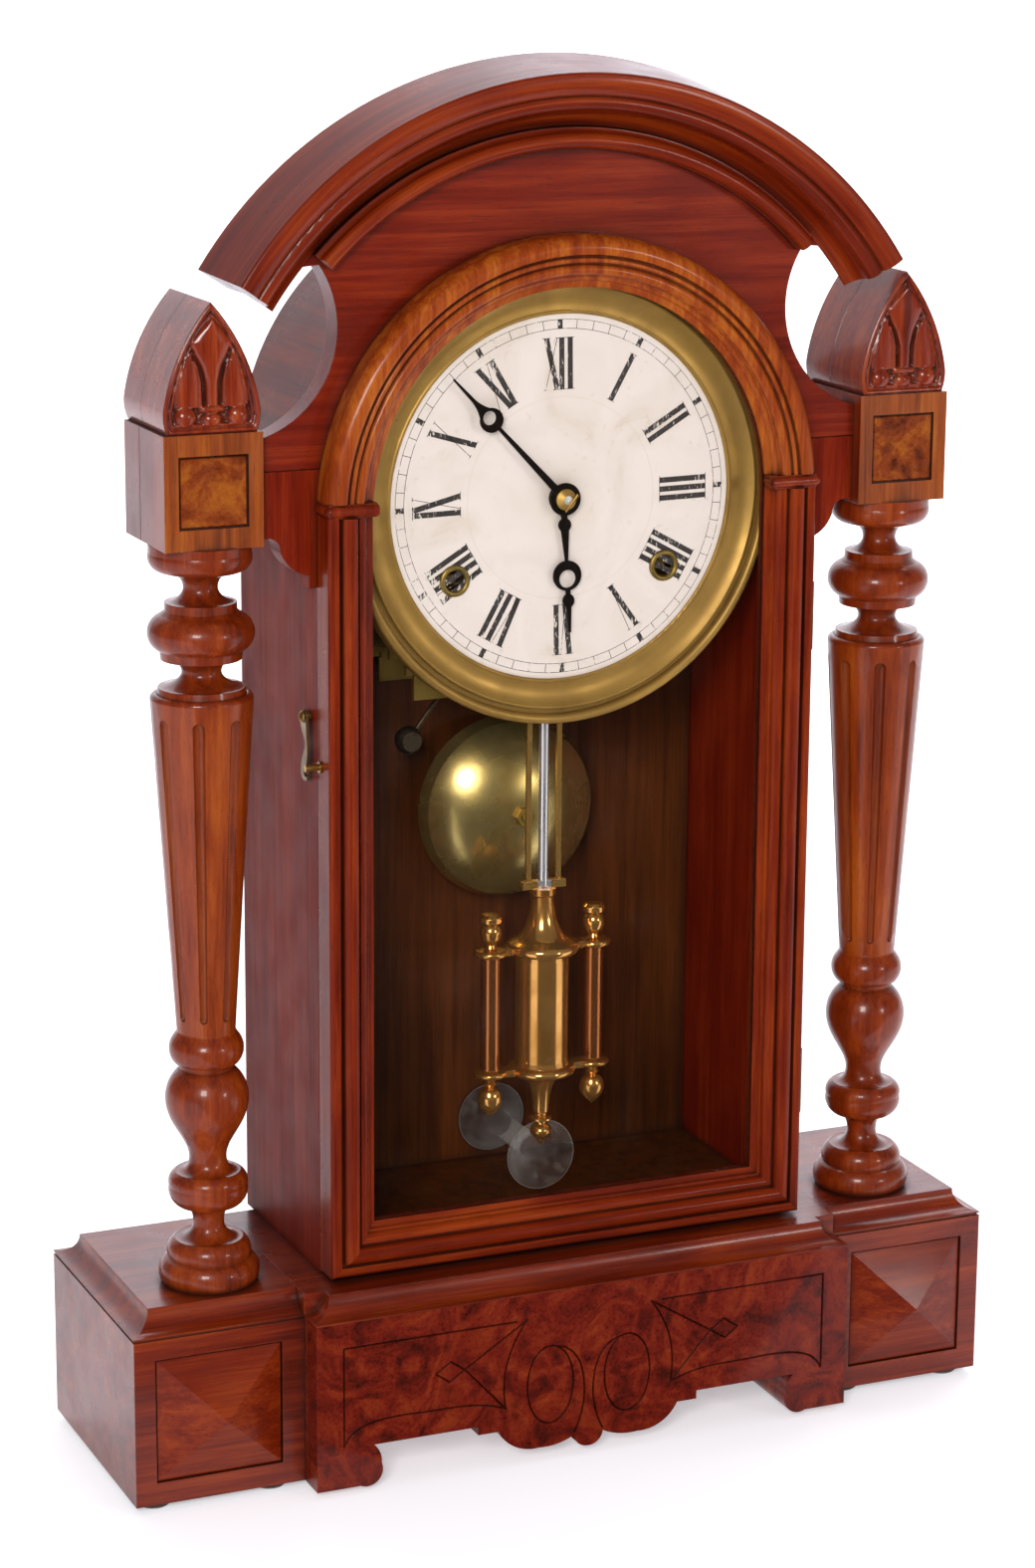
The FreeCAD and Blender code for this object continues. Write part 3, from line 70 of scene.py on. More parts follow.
class Tree:
    """Short calls that build the node tree of one material."""

    def __init__(self, name):
        self.material = bpy.data.materials.new(name)
        self.material.use_nodes = True
        self.material.node_tree.nodes.clear()

    def add(self, kind, inputs, output=0, **settings):
        """A node with its settings; each input is a value or another node's output."""
        node = self.material.node_tree.nodes.new("ShaderNode" + kind)
        for key, value in settings.items():
            setattr(node, key, value)
        for key, value in inputs.items():
            if isinstance(value, bpy.types.NodeSocket):
                self.material.node_tree.links.new(value, node.inputs[key])
            else:
                node.inputs[key].default_value = value
        return node.outputs[output]

    def math(self, operation, a, b=0.0, clamp=False):
        return self.add("Math", {0: a, 1: b}, operation=operation, use_clamp=clamp)

    def mix(self, share, a, b, blend="MIX"):
        return self.add("Mix", {0: share, 6: a, 7: b}, 2, data_type="RGBA", blend_type=blend)

    def stretched(self, space, scale):
        """Coordinates multiplied by a scale for each axis."""
        return self.add("Mapping", {"Vector": space, "Scale": scale})

    def noise(self, space, scale, detail=3.0, roughness=0.5, distortion=0.0):
        """Noise from 0 to 1, with its spots a given number to the metre on each axis."""
        space = self.stretched(space, scale if isinstance(scale, tuple) else (scale,) * 3)
        return self.add("TexNoise", {"Vector": space, "Scale": 1.0, "Detail": detail,
                                     "Roughness": roughness, "Distortion": distortion})

    def ramp(self, value, *stops):
        """A value turned into colours, from pairs of position and colour."""
        result = self.add("ValToRGB", {0: value})
        ramp = result.node.color_ramp
        for position, colour in stops[1:-1]:
            ramp.elements.new(position).color = colour
        ramp.elements[0].position, ramp.elements[0].color = stops[0]
        ramp.elements[-1].position, ramp.elements[-1].color = stops[-1]
        return result

    def between(self, value, low, high, to_low=0.0, to_high=1.0):
        """A value remapped smoothly from one range to another."""
        return self.add("MapRange", {0: value, 1: low, 2: high, 3: to_low, 4: to_high},
                        interpolation_type="SMOOTHSTEP")

    def own_space(self):
        """The piece's own coordinates, shifted by a different amount on each piece."""
        place = self.add("TexCoord", {}, "Object")
        shift = self.add("ObjectInfo", {}, "Random")
        shift = self.add("CombineXYZ", {0: shift, 1: self.math("MULTIPLY", shift, 7.0),
                                        2: self.math("MULTIPLY", shift, 3.0)})
        return place, self.add("VectorMath", {0: place, 1: shift}, operation="ADD")

    def rounded(self, radius):
        """The normal with sharp edges rounded over."""
        return self.add("Bevel", {"Radius": radius}, samples=4)

    def edges(self, radius):
        """1 along the sharp edges and 0 on the flats."""
        flat = self.add("NewGeometry", {}, "Normal")
        agree = self.add("VectorMath", {0: self.rounded(radius), 1: flat}, "Value",
                         operation="DOT_PRODUCT")
        return self.between(agree, 0.95, 0.80)

    def corners(self, reach):
        """1 deep in the grooves and 0 in the open."""
        open_share = self.add("AmbientOcclusion", {"Distance": reach}, "AO", samples=6)
        return self.between(open_share, 0.85, 0.35)

    def bump(self, height, depth, normal=None):
        inputs = {"Height": height, "Strength": 1.0, "Distance": depth}
        if normal:
            inputs["Normal"] = normal
        return self.add("Bump", inputs)

    def finish(self, colour, **sockets):
        """Join a Principled shader to the output and return the material."""
        inputs = {"Base Color": colour}
        inputs.update({key.replace("_", " "): value for key, value in sockets.items()})
        shader = self.add("BsdfPrincipled", inputs)
        self.add_output(shader)
        return self.material

    def add_output(self, shader):
        node = self.material.node_tree.nodes.new("ShaderNodeOutputMaterial")
        self.material.node_tree.links.new(shader, node.inputs["Surface"])


def axis_of(tree, index):
    """One coordinate of the clock's own frame."""
    return tree.add("SeparateXYZ", {0: tree.add("TexCoord", {}, "Object")}, index)


# ---- wood ---------------------------------------------------------------------------------
ARC_GRAIN_RADIUS = 0.12          # where the grain of a bent piece has its true length
FACING_DEPTH = 0.4 * MM          # the golden facing on the front of a corner block
SHAFT_DROP, SHAFT_LENGTH = 168 * MM, 116 * MM    # a shaft's low end under the block, and its length


def grain_space(tree, grain):
    """Coordinates whose first axis runs along the grain."""
    place, shifted = tree.own_space()
    x, y, z = [tree.add("SeparateXYZ", {0: shifted}, i) for i in range(3)]
    if grain == "x":
        return shifted
    upright = tree.add("CombineXYZ", {0: z, 1: x, 2: y})
    if grain == "z":
        return upright
    if grain == "y":
        return tree.add("CombineXYZ", {0: y, 1: x, 2: z})
    at_x, at_y, at_z = [tree.add("SeparateXYZ", {0: place}, i) for i in range(3)]
    if grain == "mitre":
        inward = tree.math("SUBTRACT", DOOR_HIGH.x, tree.math("ABSOLUTE", at_x))
        rail = tree.math("LESS_THAN", tree.math("SUBTRACT", at_z, DOOR_LOW.z), inward)
        return tree.add("Mix", {0: rail, 4: upright, 5: shifted}, 1, data_type="VECTOR")
    rise = tree.math("SUBTRACT", at_z, DIAL_Z)
    angle = tree.math("ARCTAN2", rise, at_x)
    radius = tree.math("SQRT", tree.math("ADD", tree.math("MULTIPLY", at_x, at_x),
                                         tree.math("MULTIPLY", rise, rise)))
    return tree.add("CombineXYZ", {0: tree.math("MULTIPLY", angle, ARC_GRAIN_RADIUS), 1: radius, 2: at_y})


def wood(name, dark, middle, light, grain, gloss=0.30, coat=0.14, veneer=None, shade_colour="1c0a05", shine=0.12):
    """Polished wood with streaks, pores, worn edges and painted shade in the grooves."""
    tree = Tree(name)
    space = grain_space(tree, grain)
    streak = tree.noise(space, (9.0, 210.0, 210.0), 5.0, 0.6, 0.5)
    fine = tree.noise(space, (40.0, 1100.0, 1100.0), 3.0, 0.6)
    cloud = tree.noise(space, (14.0, 34.0, 34.0), 2.0, 0.5, 0.8)
    pores = tree.noise(space, (130.0, 3200.0, 3200.0), 2.0, 0.5)
    tone = tree.math("ADD", tree.math("MULTIPLY", streak, 0.5), tree.math("MULTIPLY", fine, 0.22))
    tone = tree.math("ADD", tone, tree.math("MULTIPLY", cloud, 0.28))
    colour = tree.ramp(tone, (0.38, rgb(dark)), (0.5, rgb(middle)), (0.62, rgb(light)))
    if veneer:
        colour = veneer(tree, tone, colour)
    pore = tree.between(pores, 0.60, 0.72)
    colour = tree.mix(tree.math("MULTIPLY", pore, 0.45), colour, rgb("2a0e06"))
    scuffs = tree.noise(space, 260.0, 3.0, 0.6)
    wear = tree.math("MULTIPLY", tree.edges(0.9 * MM), tree.between(scuffs, 0.45, 0.65))
    colour = tree.mix(tree.math("MULTIPLY", wear, 0.16), colour, rgb("a8643a"))
    # Painted shade: the colour darkens towards a dark shade colour deep in grooves and recesses, found by
    # ambient occlusion; the same mask roughens the finish there.
    groove_shade = tree.corners(5 * MM)
    colour = tree.mix(tree.math("MULTIPLY", groove_shade, 0.75), colour, rgb(shade_colour))
    rough = tree.between(tree.noise(space, 60.0), 0.3, 0.75, gloss - 0.04, gloss + 0.06)
    rough = tree.math("ADD", rough, tree.math("MULTIPLY", groove_shade, 0.25))
    height = tree.math("SUBTRACT", tree.math("MULTIPLY", streak, 0.35), pore)
    normal = tree.bump(height, 0.008 * MM, tree.rounded(0.5 * MM))
    return tree.finish(colour, Roughness=rough, Normal=normal, Coat_Weight=coat,
                       Coat_Roughness=0.09, Specular_IOR_Level=shine)


def front_veneer(tree, tone, colour):
    """A golden facing on the frame round a corner block's panel."""
    facing = tree.math("LESS_THAN", axis_of(tree, 1), BLOCK_LOW.y + FACING_DEPTH)
    golden = tree.ramp(tone, (0.38, rgb("5e2606")), (0.5, rgb("843c08")), (0.62, rgb("9c560f")))
    return tree.mix(facing, colour, golden)


def shaft_tone(tree, tone, colour):
    """The lighter, more orange shaft of a column between its darker turnings, with painted shade in its
    flutes.
    """
    rise = tree.math("SUBTRACT", axis_of(tree, 2), BLOCK_LOW.z - SHAFT_DROP)
    shaft = tree.math("MULTIPLY", tree.math("GREATER_THAN", rise, 0.0),
                      tree.math("LESS_THAN", rise, SHAFT_LENGTH))
    orange = tree.ramp(tone, (0.36, rgb("5c1c05")), (0.5, rgb("7c300a")), (0.64, rgb("92440f")))
    colour = tree.mix(shaft, colour, orange)
    # Painted shade: the shaft darkened deep in its flutes, found by ambient occlusion.
    flute_shade = tree.math("MULTIPLY", tree.corners(2.2 * MM), shaft)
    return tree.mix(tree.math("MULTIPLY", flute_shade, 0.7), colour, rgb("2c0c04"))


def burl(name, dark, middle, light, scale):
    """Mottled veneer with swirls and dark eyes."""
    tree = Tree(name)
    _, space = tree.own_space()
    swirl = tree.noise(space, scale, 6.0, 0.62, 2.2)
    eyes = tree.add("TexVoronoi", {"Vector": space, "Scale": scale * 2.2, "Randomness": 1.0})
    eyes = tree.between(tree.math("ADD", eyes, tree.math("MULTIPLY", swirl, 0.5)), 0.32, 0.6)
    fine = tree.noise(space, scale * 14.0, 3.0, 0.6)
    tone = tree.math("ADD", tree.math("MULTIPLY", swirl, 0.8), tree.math("MULTIPLY", fine, 0.2))
    colour = tree.ramp(tone, (0.36, rgb(dark)), (0.5, rgb(middle)), (0.66, rgb(light)))
    colour = tree.mix(tree.math("MULTIPLY", tree.math("SUBTRACT", 1.0, eyes), 0.6), colour, rgb(dark))
    # Painted shade: darker deep in the incised lines and recesses, found by ambient occlusion.
    groove_shade = tree.corners(3 * MM)
    colour = tree.mix(tree.math("MULTIPLY", groove_shade, 0.85), colour, rgb("170805"))
    rough = tree.between(fine, 0.3, 0.7, 0.24, 0.38)
    normal = tree.bump(tone, 0.02 * MM, tree.rounded(0.4 * MM))
    return tree.finish(colour, Roughness=rough, Normal=normal, Coat_Weight=0.15,
                       Coat_Roughness=0.09, Specular_IOR_Level=0.14)


# ---- metal, glass and the rest ------------------------------------------------------------
CORE_HALF = 2.5 * MM                          # half the width of the steel in the pendulum's frame
TUBES_OUT = 15 * MM                           # the bob's side columns lie further out than this
TUBES_LOW, TUBES_HIGH = 31 * MM, 72 * MM      # their copper stretch, above the bob's low end
COLLET_DEPTH, COLLET_RADIUS = 2.4 * MM, 3.7 * MM
ARBOR_RADIUS = 1.5 * MM
STAIN_OUT, STAIN_IN = 20 * MM, 5 * MM         # the stain round the dial's middle fades outwards
RIM_IN, RIM_OUT = 60 * MM, 64 * MM            # the stain at the dial's edge
PAN_RADIUS, PAN_HALF = 34.5 * MM, 0.3 * MM    # a faint ring round the dial's middle


def brass(name, clean, aged, tarnish, rough, brushed=0.0, tint=None, stain=0.6, metal=0.88):
    """Old brass with brown spots and a dull film in the corners."""
    tree = Tree(name)
    _, space = tree.own_space()
    film = tree.noise(space, 60.0, 3.0, 0.5, 0.4)
    spots = tree.noise(space, 520.0, 3.0, 0.6)
    colour = tree.ramp(film, (0.30, rgb(clean)), (0.70, rgb(aged)))
    if tint:
        colour = tint(tree, colour)
    spot = tree.math("MULTIPLY", tree.between(spots, 0.66, 0.78), tree.between(film, 0.45, 0.65))
    colour = tree.mix(tree.math("MULTIPLY", spot, stain), colour, rgb(tarnish))
    colour = tree.mix(tree.math("MULTIPLY", tree.corners(2 * MM), stain), colour, rgb(tarnish))
    dull = tree.between(film, 0.3, 0.7, rough - 0.03, rough + 0.07)
    dull = tree.math("ADD", dull, tree.math("MULTIPLY", spot, 0.4 * stain))
    lines = tree.noise(space, (2600.0, 300.0, 60.0), 2.0)
    height = tree.math("ADD", tree.math("MULTIPLY", spots, 0.2), tree.math("MULTIPLY", lines, brushed))
    normal = tree.bump(height, 0.004 * MM, tree.rounded(0.2 * MM))
    return tree.finish(colour, Metallic=metal, Roughness=dull, Normal=normal)


def steel_core(tree, colour):
    """Bright steel in the middle of the pendulum's frame, between its brass bars."""
    middle = tree.math("LESS_THAN", tree.math("ABSOLUTE", axis_of(tree, 0)), CORE_HALF)
    return tree.mix(middle, colour, rgb("e6e4e8"))


def copper_tubes(tree, colour):
    """Copper-brown tubes between the brass caps of the bob's two side columns."""
    out = tree.math("GREATER_THAN", tree.math("ABSOLUTE", axis_of(tree, 0)), TUBES_OUT)
    z = axis_of(tree, 2)
    tube = tree.math("MULTIPLY", tree.math("GREATER_THAN", z, BOB_LOW.z + TUBES_LOW),
                     tree.math("LESS_THAN", z, BOB_LOW.z + TUBES_HIGH))
    return tree.mix(tree.math("MULTIPLY", out, tube), colour, rgb("a8673a"))


def steel(name, colour_code, rough, rust="4a2c1a", tint=None):
    """Steel with a little brown on it."""
    tree = Tree(name)
    _, space = tree.own_space()
    mottle = tree.noise(space, 500.0, 4.0, 0.6)
    colour = tree.mix(tree.math("MULTIPLY", tree.between(mottle, 0.52, 0.7), 0.6), rgb(colour_code),
                      rgb(rust))
    if tint:
        colour = tint(tree, colour)
    dull = tree.between(mottle, 0.3, 0.7, rough, rough + 0.2)
    return tree.finish(colour, Metallic=0.9, Roughness=dull,
                       Normal=tree.bump(mottle, 0.008 * MM, tree.rounded(0.15 * MM)))


def dial_radius(tree):
    """The distance from the dial's centre."""
    dx = tree.math("SUBTRACT", axis_of(tree, 0), DIAL_X)
    dz = tree.math("SUBTRACT", axis_of(tree, 2), DIAL_Z)
    return tree.math("SQRT", tree.math("ADD", tree.math("MULTIPLY", dx, dx),
                                       tree.math("MULTIPLY", dz, dz)))


def collet(tree, colour):
    """The brass collet and the bright end of the arbor in the middle of the minute hand."""
    radius = dial_radius(tree)
    front = tree.math("LESS_THAN", axis_of(tree, 1), HANDS_FRONT + COLLET_DEPTH)
    brassy = tree.math("MULTIPLY", front, tree.math("LESS_THAN", radius, COLLET_RADIUS))
    colour = tree.mix(brassy, colour, rgb("c9a45c"))
    return tree.mix(tree.math("LESS_THAN", radius, ARBOR_RADIUS), colour, rgb("e4e2de"))


def enamel_colour(tree):
    """White paint with faint brown stains, strongest round the middle and the edge."""
    _, space = tree.own_space()
    radius = dial_radius(tree)
    clouds = tree.noise(space, 42.0, 4.0, 0.6, 0.9)
    spots = tree.noise(space, 300.0, 3.0, 0.6)
    colour = tree.ramp(clouds, (0.42, rgb("d5cbc6")), (0.62, rgb("d0c5be")), (0.80, rgb("c2b4a7")))
    colour = tree.mix(tree.math("MULTIPLY", tree.between(spots, 0.62, 0.78), 0.25), colour,
                      rgb("a98a6a"))
    middle = tree.between(radius, STAIN_OUT, STAIN_IN, 0.0, 0.25)
    rim = tree.between(radius, RIM_IN, RIM_OUT, 0.0, 0.3)
    pan = tree.math("COMPARE", radius, PAN_RADIUS)
    pan.node.inputs[2].default_value = PAN_HALF
    stain = tree.math("ADD", tree.math("ADD", middle, rim), tree.math("MULTIPLY", pan, 0.22), True)
    return tree.mix(stain, colour, rgb("c4b29c")), space


def dial_enamel():
    """The painted face of the dial."""
    tree = Tree("dial_paint")
    colour, space = enamel_colour(tree)
    crazing = tree.noise(space, 900.0, 2.0, 0.5)
    return tree.finish(colour, Roughness=tree.between(crazing, 0.3, 0.7, 0.45, 0.6),
                       Normal=tree.bump(crazing, 0.01 * MM), Coat_Weight=0.1)


def dial_ink():
    """Black print, rubbed away to the paint in streaks."""
    tree = Tree("dial_print")
    colour, space = enamel_colour(tree)
    rubbed = tree.noise(space, (1500.0, 1500.0, 420.0), 3.0, 0.65)
    patches = tree.noise(space, 60.0, 2.0)
    gone = tree.between(tree.math("ADD", rubbed, tree.math("MULTIPLY", patches, 0.35)), 0.75, 0.84)
    ink = tree.mix(tree.noise(space, 900.0), rgb("1b1716"), rgb("3a3230"))
    return tree.finish(tree.mix(gone, ink, colour), Roughness=0.55)


def window_glass():
    """Clear old glass that mirrors the room at a slant, once, on the side where light enters."""
    tree = Tree("door_pane")
    _, space = tree.own_space()
    clear = tree.add("BsdfTransparent", {"Color": (0.985, 0.985, 0.975, 1.0)})
    shine = tree.add("BsdfGlossy", {"Roughness": 0.015})
    smears = tree.between(tree.noise(space, 24.0, 4.0, 0.7), 0.5, 0.9, 0.0, 0.006)
    dust = tree.add("BsdfDiffuse", {"Color": (0.75, 0.72, 0.68, 1.0)})
    film = tree.add("MixShader", {0: smears, 1: clear, 2: dust})
    entering = tree.math("SUBTRACT", 1.0, tree.add("NewGeometry", {}, "Backfacing"))
    mirror = tree.math("MULTIPLY", tree.add("Fresnel", {"IOR": 1.25}), entering)
    tree.add_output(tree.add("MixShader", {0: mirror, 1: film, 2: shine}))
    return tree.material


def clear_plastic():
    """Clear soft plastic that whitens at its rim."""
    tree = Tree("clear_vinyl")
    _, space = tree.own_space()
    facing = tree.add("LayerWeight", {"Blend": 0.45}, "Facing")
    haze = tree.between(tree.noise(space, 260.0, 3.0), 0.35, 0.75, 0.01, 0.04)
    clear = tree.add("BsdfTransparent", {"Color": (0.98, 0.98, 0.98, 1.0)})
    body = tree.add("BsdfPrincipled", {"Base Color": (0.82, 0.80, 0.78, 1.0), "Roughness": 0.12})
    share = tree.math("ADD", tree.math("MULTIPLY", tree.math("POWER", facing, 2.5), 0.8), haze, True)
    tree.add_output(tree.add("MixShader", {0: share, 1: clear, 2: body}))
    return tree.material


def felt():
    """Dark fibrous felt under the feet."""
    tree = Tree("foot_felt")
    _, space = tree.own_space()
    fibre = tree.noise(space, 1800.0, 4.0, 0.7)
    colour = tree.ramp(fibre, (0.3, rgb("1a1512")), (0.7, rgb("453a30")))
    return tree.finish(colour, Roughness=0.95, Normal=tree.bump(fibre, 0.2 * MM), Sheen_Weight=0.3)


# ---- materials on the nodes ---------------------------------------------------------------
# The dark, middle and light tone of each wood.
WALNUT = ("4a1003", "681c05", "823009")
CASE_RED = ("540f02", "681704", "7c2608")
DARK_WALNUT = ("341503", "462106", "56290a")
GOLDEN = ("662206", "84360b", "a05414")
COLUMN_WALNUT = ("541804", "722708", "88380c")

plain = {axis: wood("walnut_" + axis, *WALNUT, axis) for axis in ("x", "y", "z", "arc")}
vinyl = clear_plastic()
finishes = {
    plain["x"]: ("pyramid_panels",),
    wood("walnut_base", *WALNUT, "x", shine=0.27): (
        "base_block_left", "base_block_right", "base_center"),
    plain["z"]: ("foot_scrolls", "glass_strip", "door_collars"),
    plain["arc"]: ("cornice", "frieze_bead"),
    wood("walnut_door", *WALNUT, "mitre", coat=0.06, shine=0.07): ("door_frame",),
    plain["y"]: ("case_top",),
    wood("walnut_pediment", *CASE_RED, "x"): ("pediment_board",),
    wood("walnut_sides", *CASE_RED, "z", gloss=0.45, coat=0.0, shine=0.05): (
        "case_side_left", "case_side_right", "stile_left", "stile_right"),
    wood("walnut_column", *COLUMN_WALNUT, "z", coat=0.22, veneer=shaft_tone, shine=0.2): (
        "column_left", "column_right"),
    # The corner blocks' painted groove shade is a lighter brown.
    wood("walnut_block", *WALNUT, "z", veneer=front_veneer, shade_colour="33221c", shine=0.34): (
        "corner_block_left", "corner_block_right"),
    wood("walnut_dark", *DARK_WALNUT, "z", gloss=0.5, coat=0.05): ("case_back", "case_floor"),
    wood("walnut_golden", *GOLDEN, "z"): ("door_arch",),
    burl("burl_apron", "380902", "601203", "782808", 52.0): ("apron",),
    burl("burl_panel", "481803", "74300a", "92500e", 48.0): ("block_panels",),
    felt(): ("foot_pads",),
    window_glass(): ("door_glass",),
    vinyl: ("clear_cup",),
    dial_enamel(): ("dial_plate",),
    brass("brass_bezel", "b08a44", "947236", "3e2c12", 0.40, 0.3, metal=0.6): ("dial_bezel",),
    brass("brass_eyelet", "9c8448", "74602e", "2a1e0e", 0.42): ("winding_eyelets",),
    brass("brass_bell", "ccb676", "a48c50", "4c4020", 0.24, stain=0.0): ("bell",),
    brass("brass_bob", "e0a860", "b8803e", "5a3414", 0.16, tint=copper_tubes, stain=0.25): (
        "pendulum_bob",),
    brass("pendulum_metal", "d8aa60", "b08444", "5a3818", 0.26, tint=steel_core, stain=0.3): (
        "pendulum_rods",),
    brass("brass_works", "c0a050", "947a3c", "382a12", 0.38, 0.4): (
        "movement_plates", "pillars", "dial_feet", "bell_post", "minute_wheel", "time_great_wheel",
        "time_second_wheel", "centre_wheel", "third_wheel", "escape_wheel", "strike_great_wheel",
        "strike_second_wheel", "warning_wheel"),
    brass("brass_fittings", "a5803c", "6e5226", "2c1c0c", 0.34): (
        "hinge_case_leaves", "hinge_door_leaves", "latch_screw", "latch_pin"),
    brass("bronze_hook", "8c7250", "57432c", "241810", 0.40): ("latch_hook",),
    steel("steel_parts", "8d8880", 0.32): ("suspension_post", "verge", "fly"),
    steel("hammer_bronze", "54483a", 0.42, "2c2018"): ("hammer",),
    steel("hand_black", "1d1714", 0.38, "3a241a"): ("hour_hand",),
    steel("hand_and_collet", "1d1714", 0.38, "3a241a", collet): ("minute_hand",),
}
for material, nodes in finishes.items():
    for node in nodes:
        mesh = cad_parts[node].data
        mesh.materials.clear()
        mesh.materials.append(material)


# ---- pieces -------------------------------------------------------------------------------
def piece(name, build, material, body):
    """A new mesh piece on a body, filled by a function that works on its bmesh."""
    work = bmesh.new()
    build(work)
    mesh = bpy.data.meshes.new(name)
    work.to_mesh(mesh)
    work.free()
    mesh.materials.append(material)
    result = bpy.data.objects.new(name, mesh)
    bpy.context.scene.collection.objects.link(result)
    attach(result, body)
    return result


PRINT_TURN = math.radians(-0.9)    # the print sits a little anticlockwise on its plate
PRINT_LIFT = 0.04 * MM             # the print's height over the paint

# The print's own sizes, in millimetres from the dial's centre outwards or across a line.
NUMERAL_FOOT, NUMERAL_TOP = 37.0, 54.4
TRACK_IN, TRACK_OUT = 57.4, 60.5
THICK, HAIR = 1.9, 0.22
SERIF_REACH = 0.55                 # how far a serif passes the stroke on each side
LETTER_GAP = 0.3
HOUR_BLOCK, TRACK_LINE = 1.8, 0.18
NUMERALS = ("XII", "I", "II", "III", "IIII", "V", "VI", "VII", "VIII", "IX", "X", "XI")
ADVANCE = {"I": 3.1, "V": 4.1, "X": 4.2}


def dial_point(across, radius, angle):
    """A point on the print: across the line from the dial's centre, and along it."""
    angle += PRINT_TURN
    x = across * math.cos(angle) + radius * math.sin(angle)
    z = radius * math.cos(angle) - across * math.sin(angle)
    return Vector((DIAL_X + x * MM, DIAL_FACE - PRINT_LIFT, DIAL_Z + z * MM))


def stroke(work, start, end, width, angle):
    """A printed line of a given width between two points of across and radius."""
    along = Vector(end) - Vector(start)
    side = Vector((-along.y, along.x)).normalized() * width / 2
    corners = [Vector(start) - side, Vector(start) + side, Vector(end) + side, Vector(end) - side]
    work.faces.new([work.verts.new(dial_point(c.x, c.y, angle)) for c in corners])


def letter(work, kind, left, angle):
    """One Roman letter with its thick and thin strokes and hairline serifs."""
    wide = ADVANCE[kind] - LETTER_GAP
    middle = left + wide / 2
    if kind == "I":
        feet, tops = [(middle, THICK)], [(middle, THICK)]
    elif kind == "V":
        feet, tops = [(middle + 0.3, THICK)] * 2, [(left + 0.6, THICK), (left + wide, HAIR)]
    else:
        feet = [(left + wide, THICK), (left - 0.4, HAIR)]
        tops = [(left, THICK), (left + wide, HAIR)]
    for (foot, _), (top, width) in zip(feet, tops):
        stroke(work, (foot, NUMERAL_FOOT), (top, NUMERAL_TOP), width, angle)
    for ends, radius in ((feet, NUMERAL_FOOT), (tops, NUMERAL_TOP)):
        for at, width in ends:
            half = width / 2 + SERIF_REACH
            stroke(work, (at - half, radius), (at + half, radius), HAIR, angle)


def ring(work, radius, width, steps=180):
    """A thin printed circle."""
    for i in range(steps):
        corners = []
        for r, k in ((radius, i), (radius + width, i), (radius + width, i + 1), (radius, i + 1)):
            corners.append(dial_point(0.0, r, 2 * math.pi * k / steps))
        work.faces.new([work.verts.new(c) for c in corners])


def dial_print(work):
    """The hour numerals, the minute track and its hour blocks."""
    for hour, numeral in enumerate(NUMERALS):
        angle = math.radians(30 * hour)
        left = -(sum(ADVANCE[kind] for kind in numeral) - LETTER_GAP) / 2
        for kind in numeral:
            letter(work, kind, left, angle)
            left += ADVANCE[kind]
        stroke(work, (0, TRACK_IN), (0, TRACK_OUT), HOUR_BLOCK, angle)
    for minute in range(60):
        if minute % 5:
            stroke(work, (0, TRACK_IN), (0, TRACK_OUT), HAIR, math.radians(6 * minute))
    ring(work, TRACK_IN, TRACK_LINE)
    ring(work, TRACK_OUT, TRACK_LINE)


piece("dial_print", dial_print, dial_ink(), "case")

PIN_MIDDLE = (DIAL_X + 1.2 * MM, HANDS_FRONT - 0.1 * MM, DIAL_Z - 1.0 * MM)
PIN_LEAN = math.radians(38)
PIN_THIN, PIN_THICK, PIN_LENGTH = 0.35 * MM, 0.62 * MM, 7.4 * MM
PIN_ROUNDING = 0.1 * MM
SHORT_EDGE = 0.3 * MM              # only the edges round the pin's two ends are shorter


def hand_pin(work):
    """The small brass taper pin that holds the hands on their arbor."""
    place = Matrix.Translation(PIN_MIDDLE) @ Matrix.Rotation(PIN_LEAN, 4, "Y")
    bmesh.ops.create_cone(work, cap_ends=True, segments=16, radius1=PIN_THIN, radius2=PIN_THICK,
                          depth=PIN_LENGTH, matrix=place)
    bmesh.ops.bevel(work, geom=[e for e in work.edges if e.calc_length() < SHORT_EDGE],
                    offset=PIN_ROUNDING, segments=2, affect="EDGES")


# ---- clear cup ----------------------------------------------------------------------------
# Sizes are in millimetres; a point of the profile is a radius and a depth from the front.
CUP_LOW, CUP_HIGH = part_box("clear_cup")
CUP_CLEAR = 0.15              # gap to the back board, so the two faces don't coincide
CUP_INSET = 0.2               # how much smaller in radius it is than the CAD cup
CUP_STEPS = 72


def clear_cup(work):
    """Two thin suction dishes on one stem, as a closed skin turned on an axis along Y."""
    deep = (CUP_HIGH.y - CUP_LOW.y) / MM - CUP_CLEAR
    rim = (CUP_HIGH.x - CUP_LOW.x) / MM / 2 - CUP_INSET
    dish = [(rim - 1.0, 0.0), (rim - 0.2, 0.3), (rim, 0.9), (rim - 0.5, 1.5), (9.0, 3.3), (5.6, 6.6),
            (4.4, 10.0)]
    hollow = [(0.0, 3.2), (5.0, 2.7), (9.0, 1.8), (rim - 1.6, 0.5)]
    half = hollow + dish
    profile = half + [(r, deep - y) for r, y in reversed(half)]
    centre = (CUP_LOW + CUP_HIGH) / 2
    loops = []
    for i in range(CUP_STEPS):
        angle = 2 * math.pi * i / CUP_STEPS
        loops.append([work.verts.new((centre.x + r * math.cos(angle) * MM, CUP_LOW.y + y * MM,
                                      centre.z + r * math.sin(angle) * MM)) for r, y in profile])
    for here, following in zip(loops, loops[1:] + loops[:1]):
        for a, b, c, d in zip(here, here[1:], following[1:], following):
            work.faces.new((a, b, c, d)).smooth = True
    bmesh.ops.remove_doubles(work, verts=work.verts, dist=0.001 * MM)
    bmesh.ops.recalc_face_normals(work, faces=work.faces)


cup = piece("clear_suction_cup", clear_cup, vinyl, "case")
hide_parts("clear_cup")


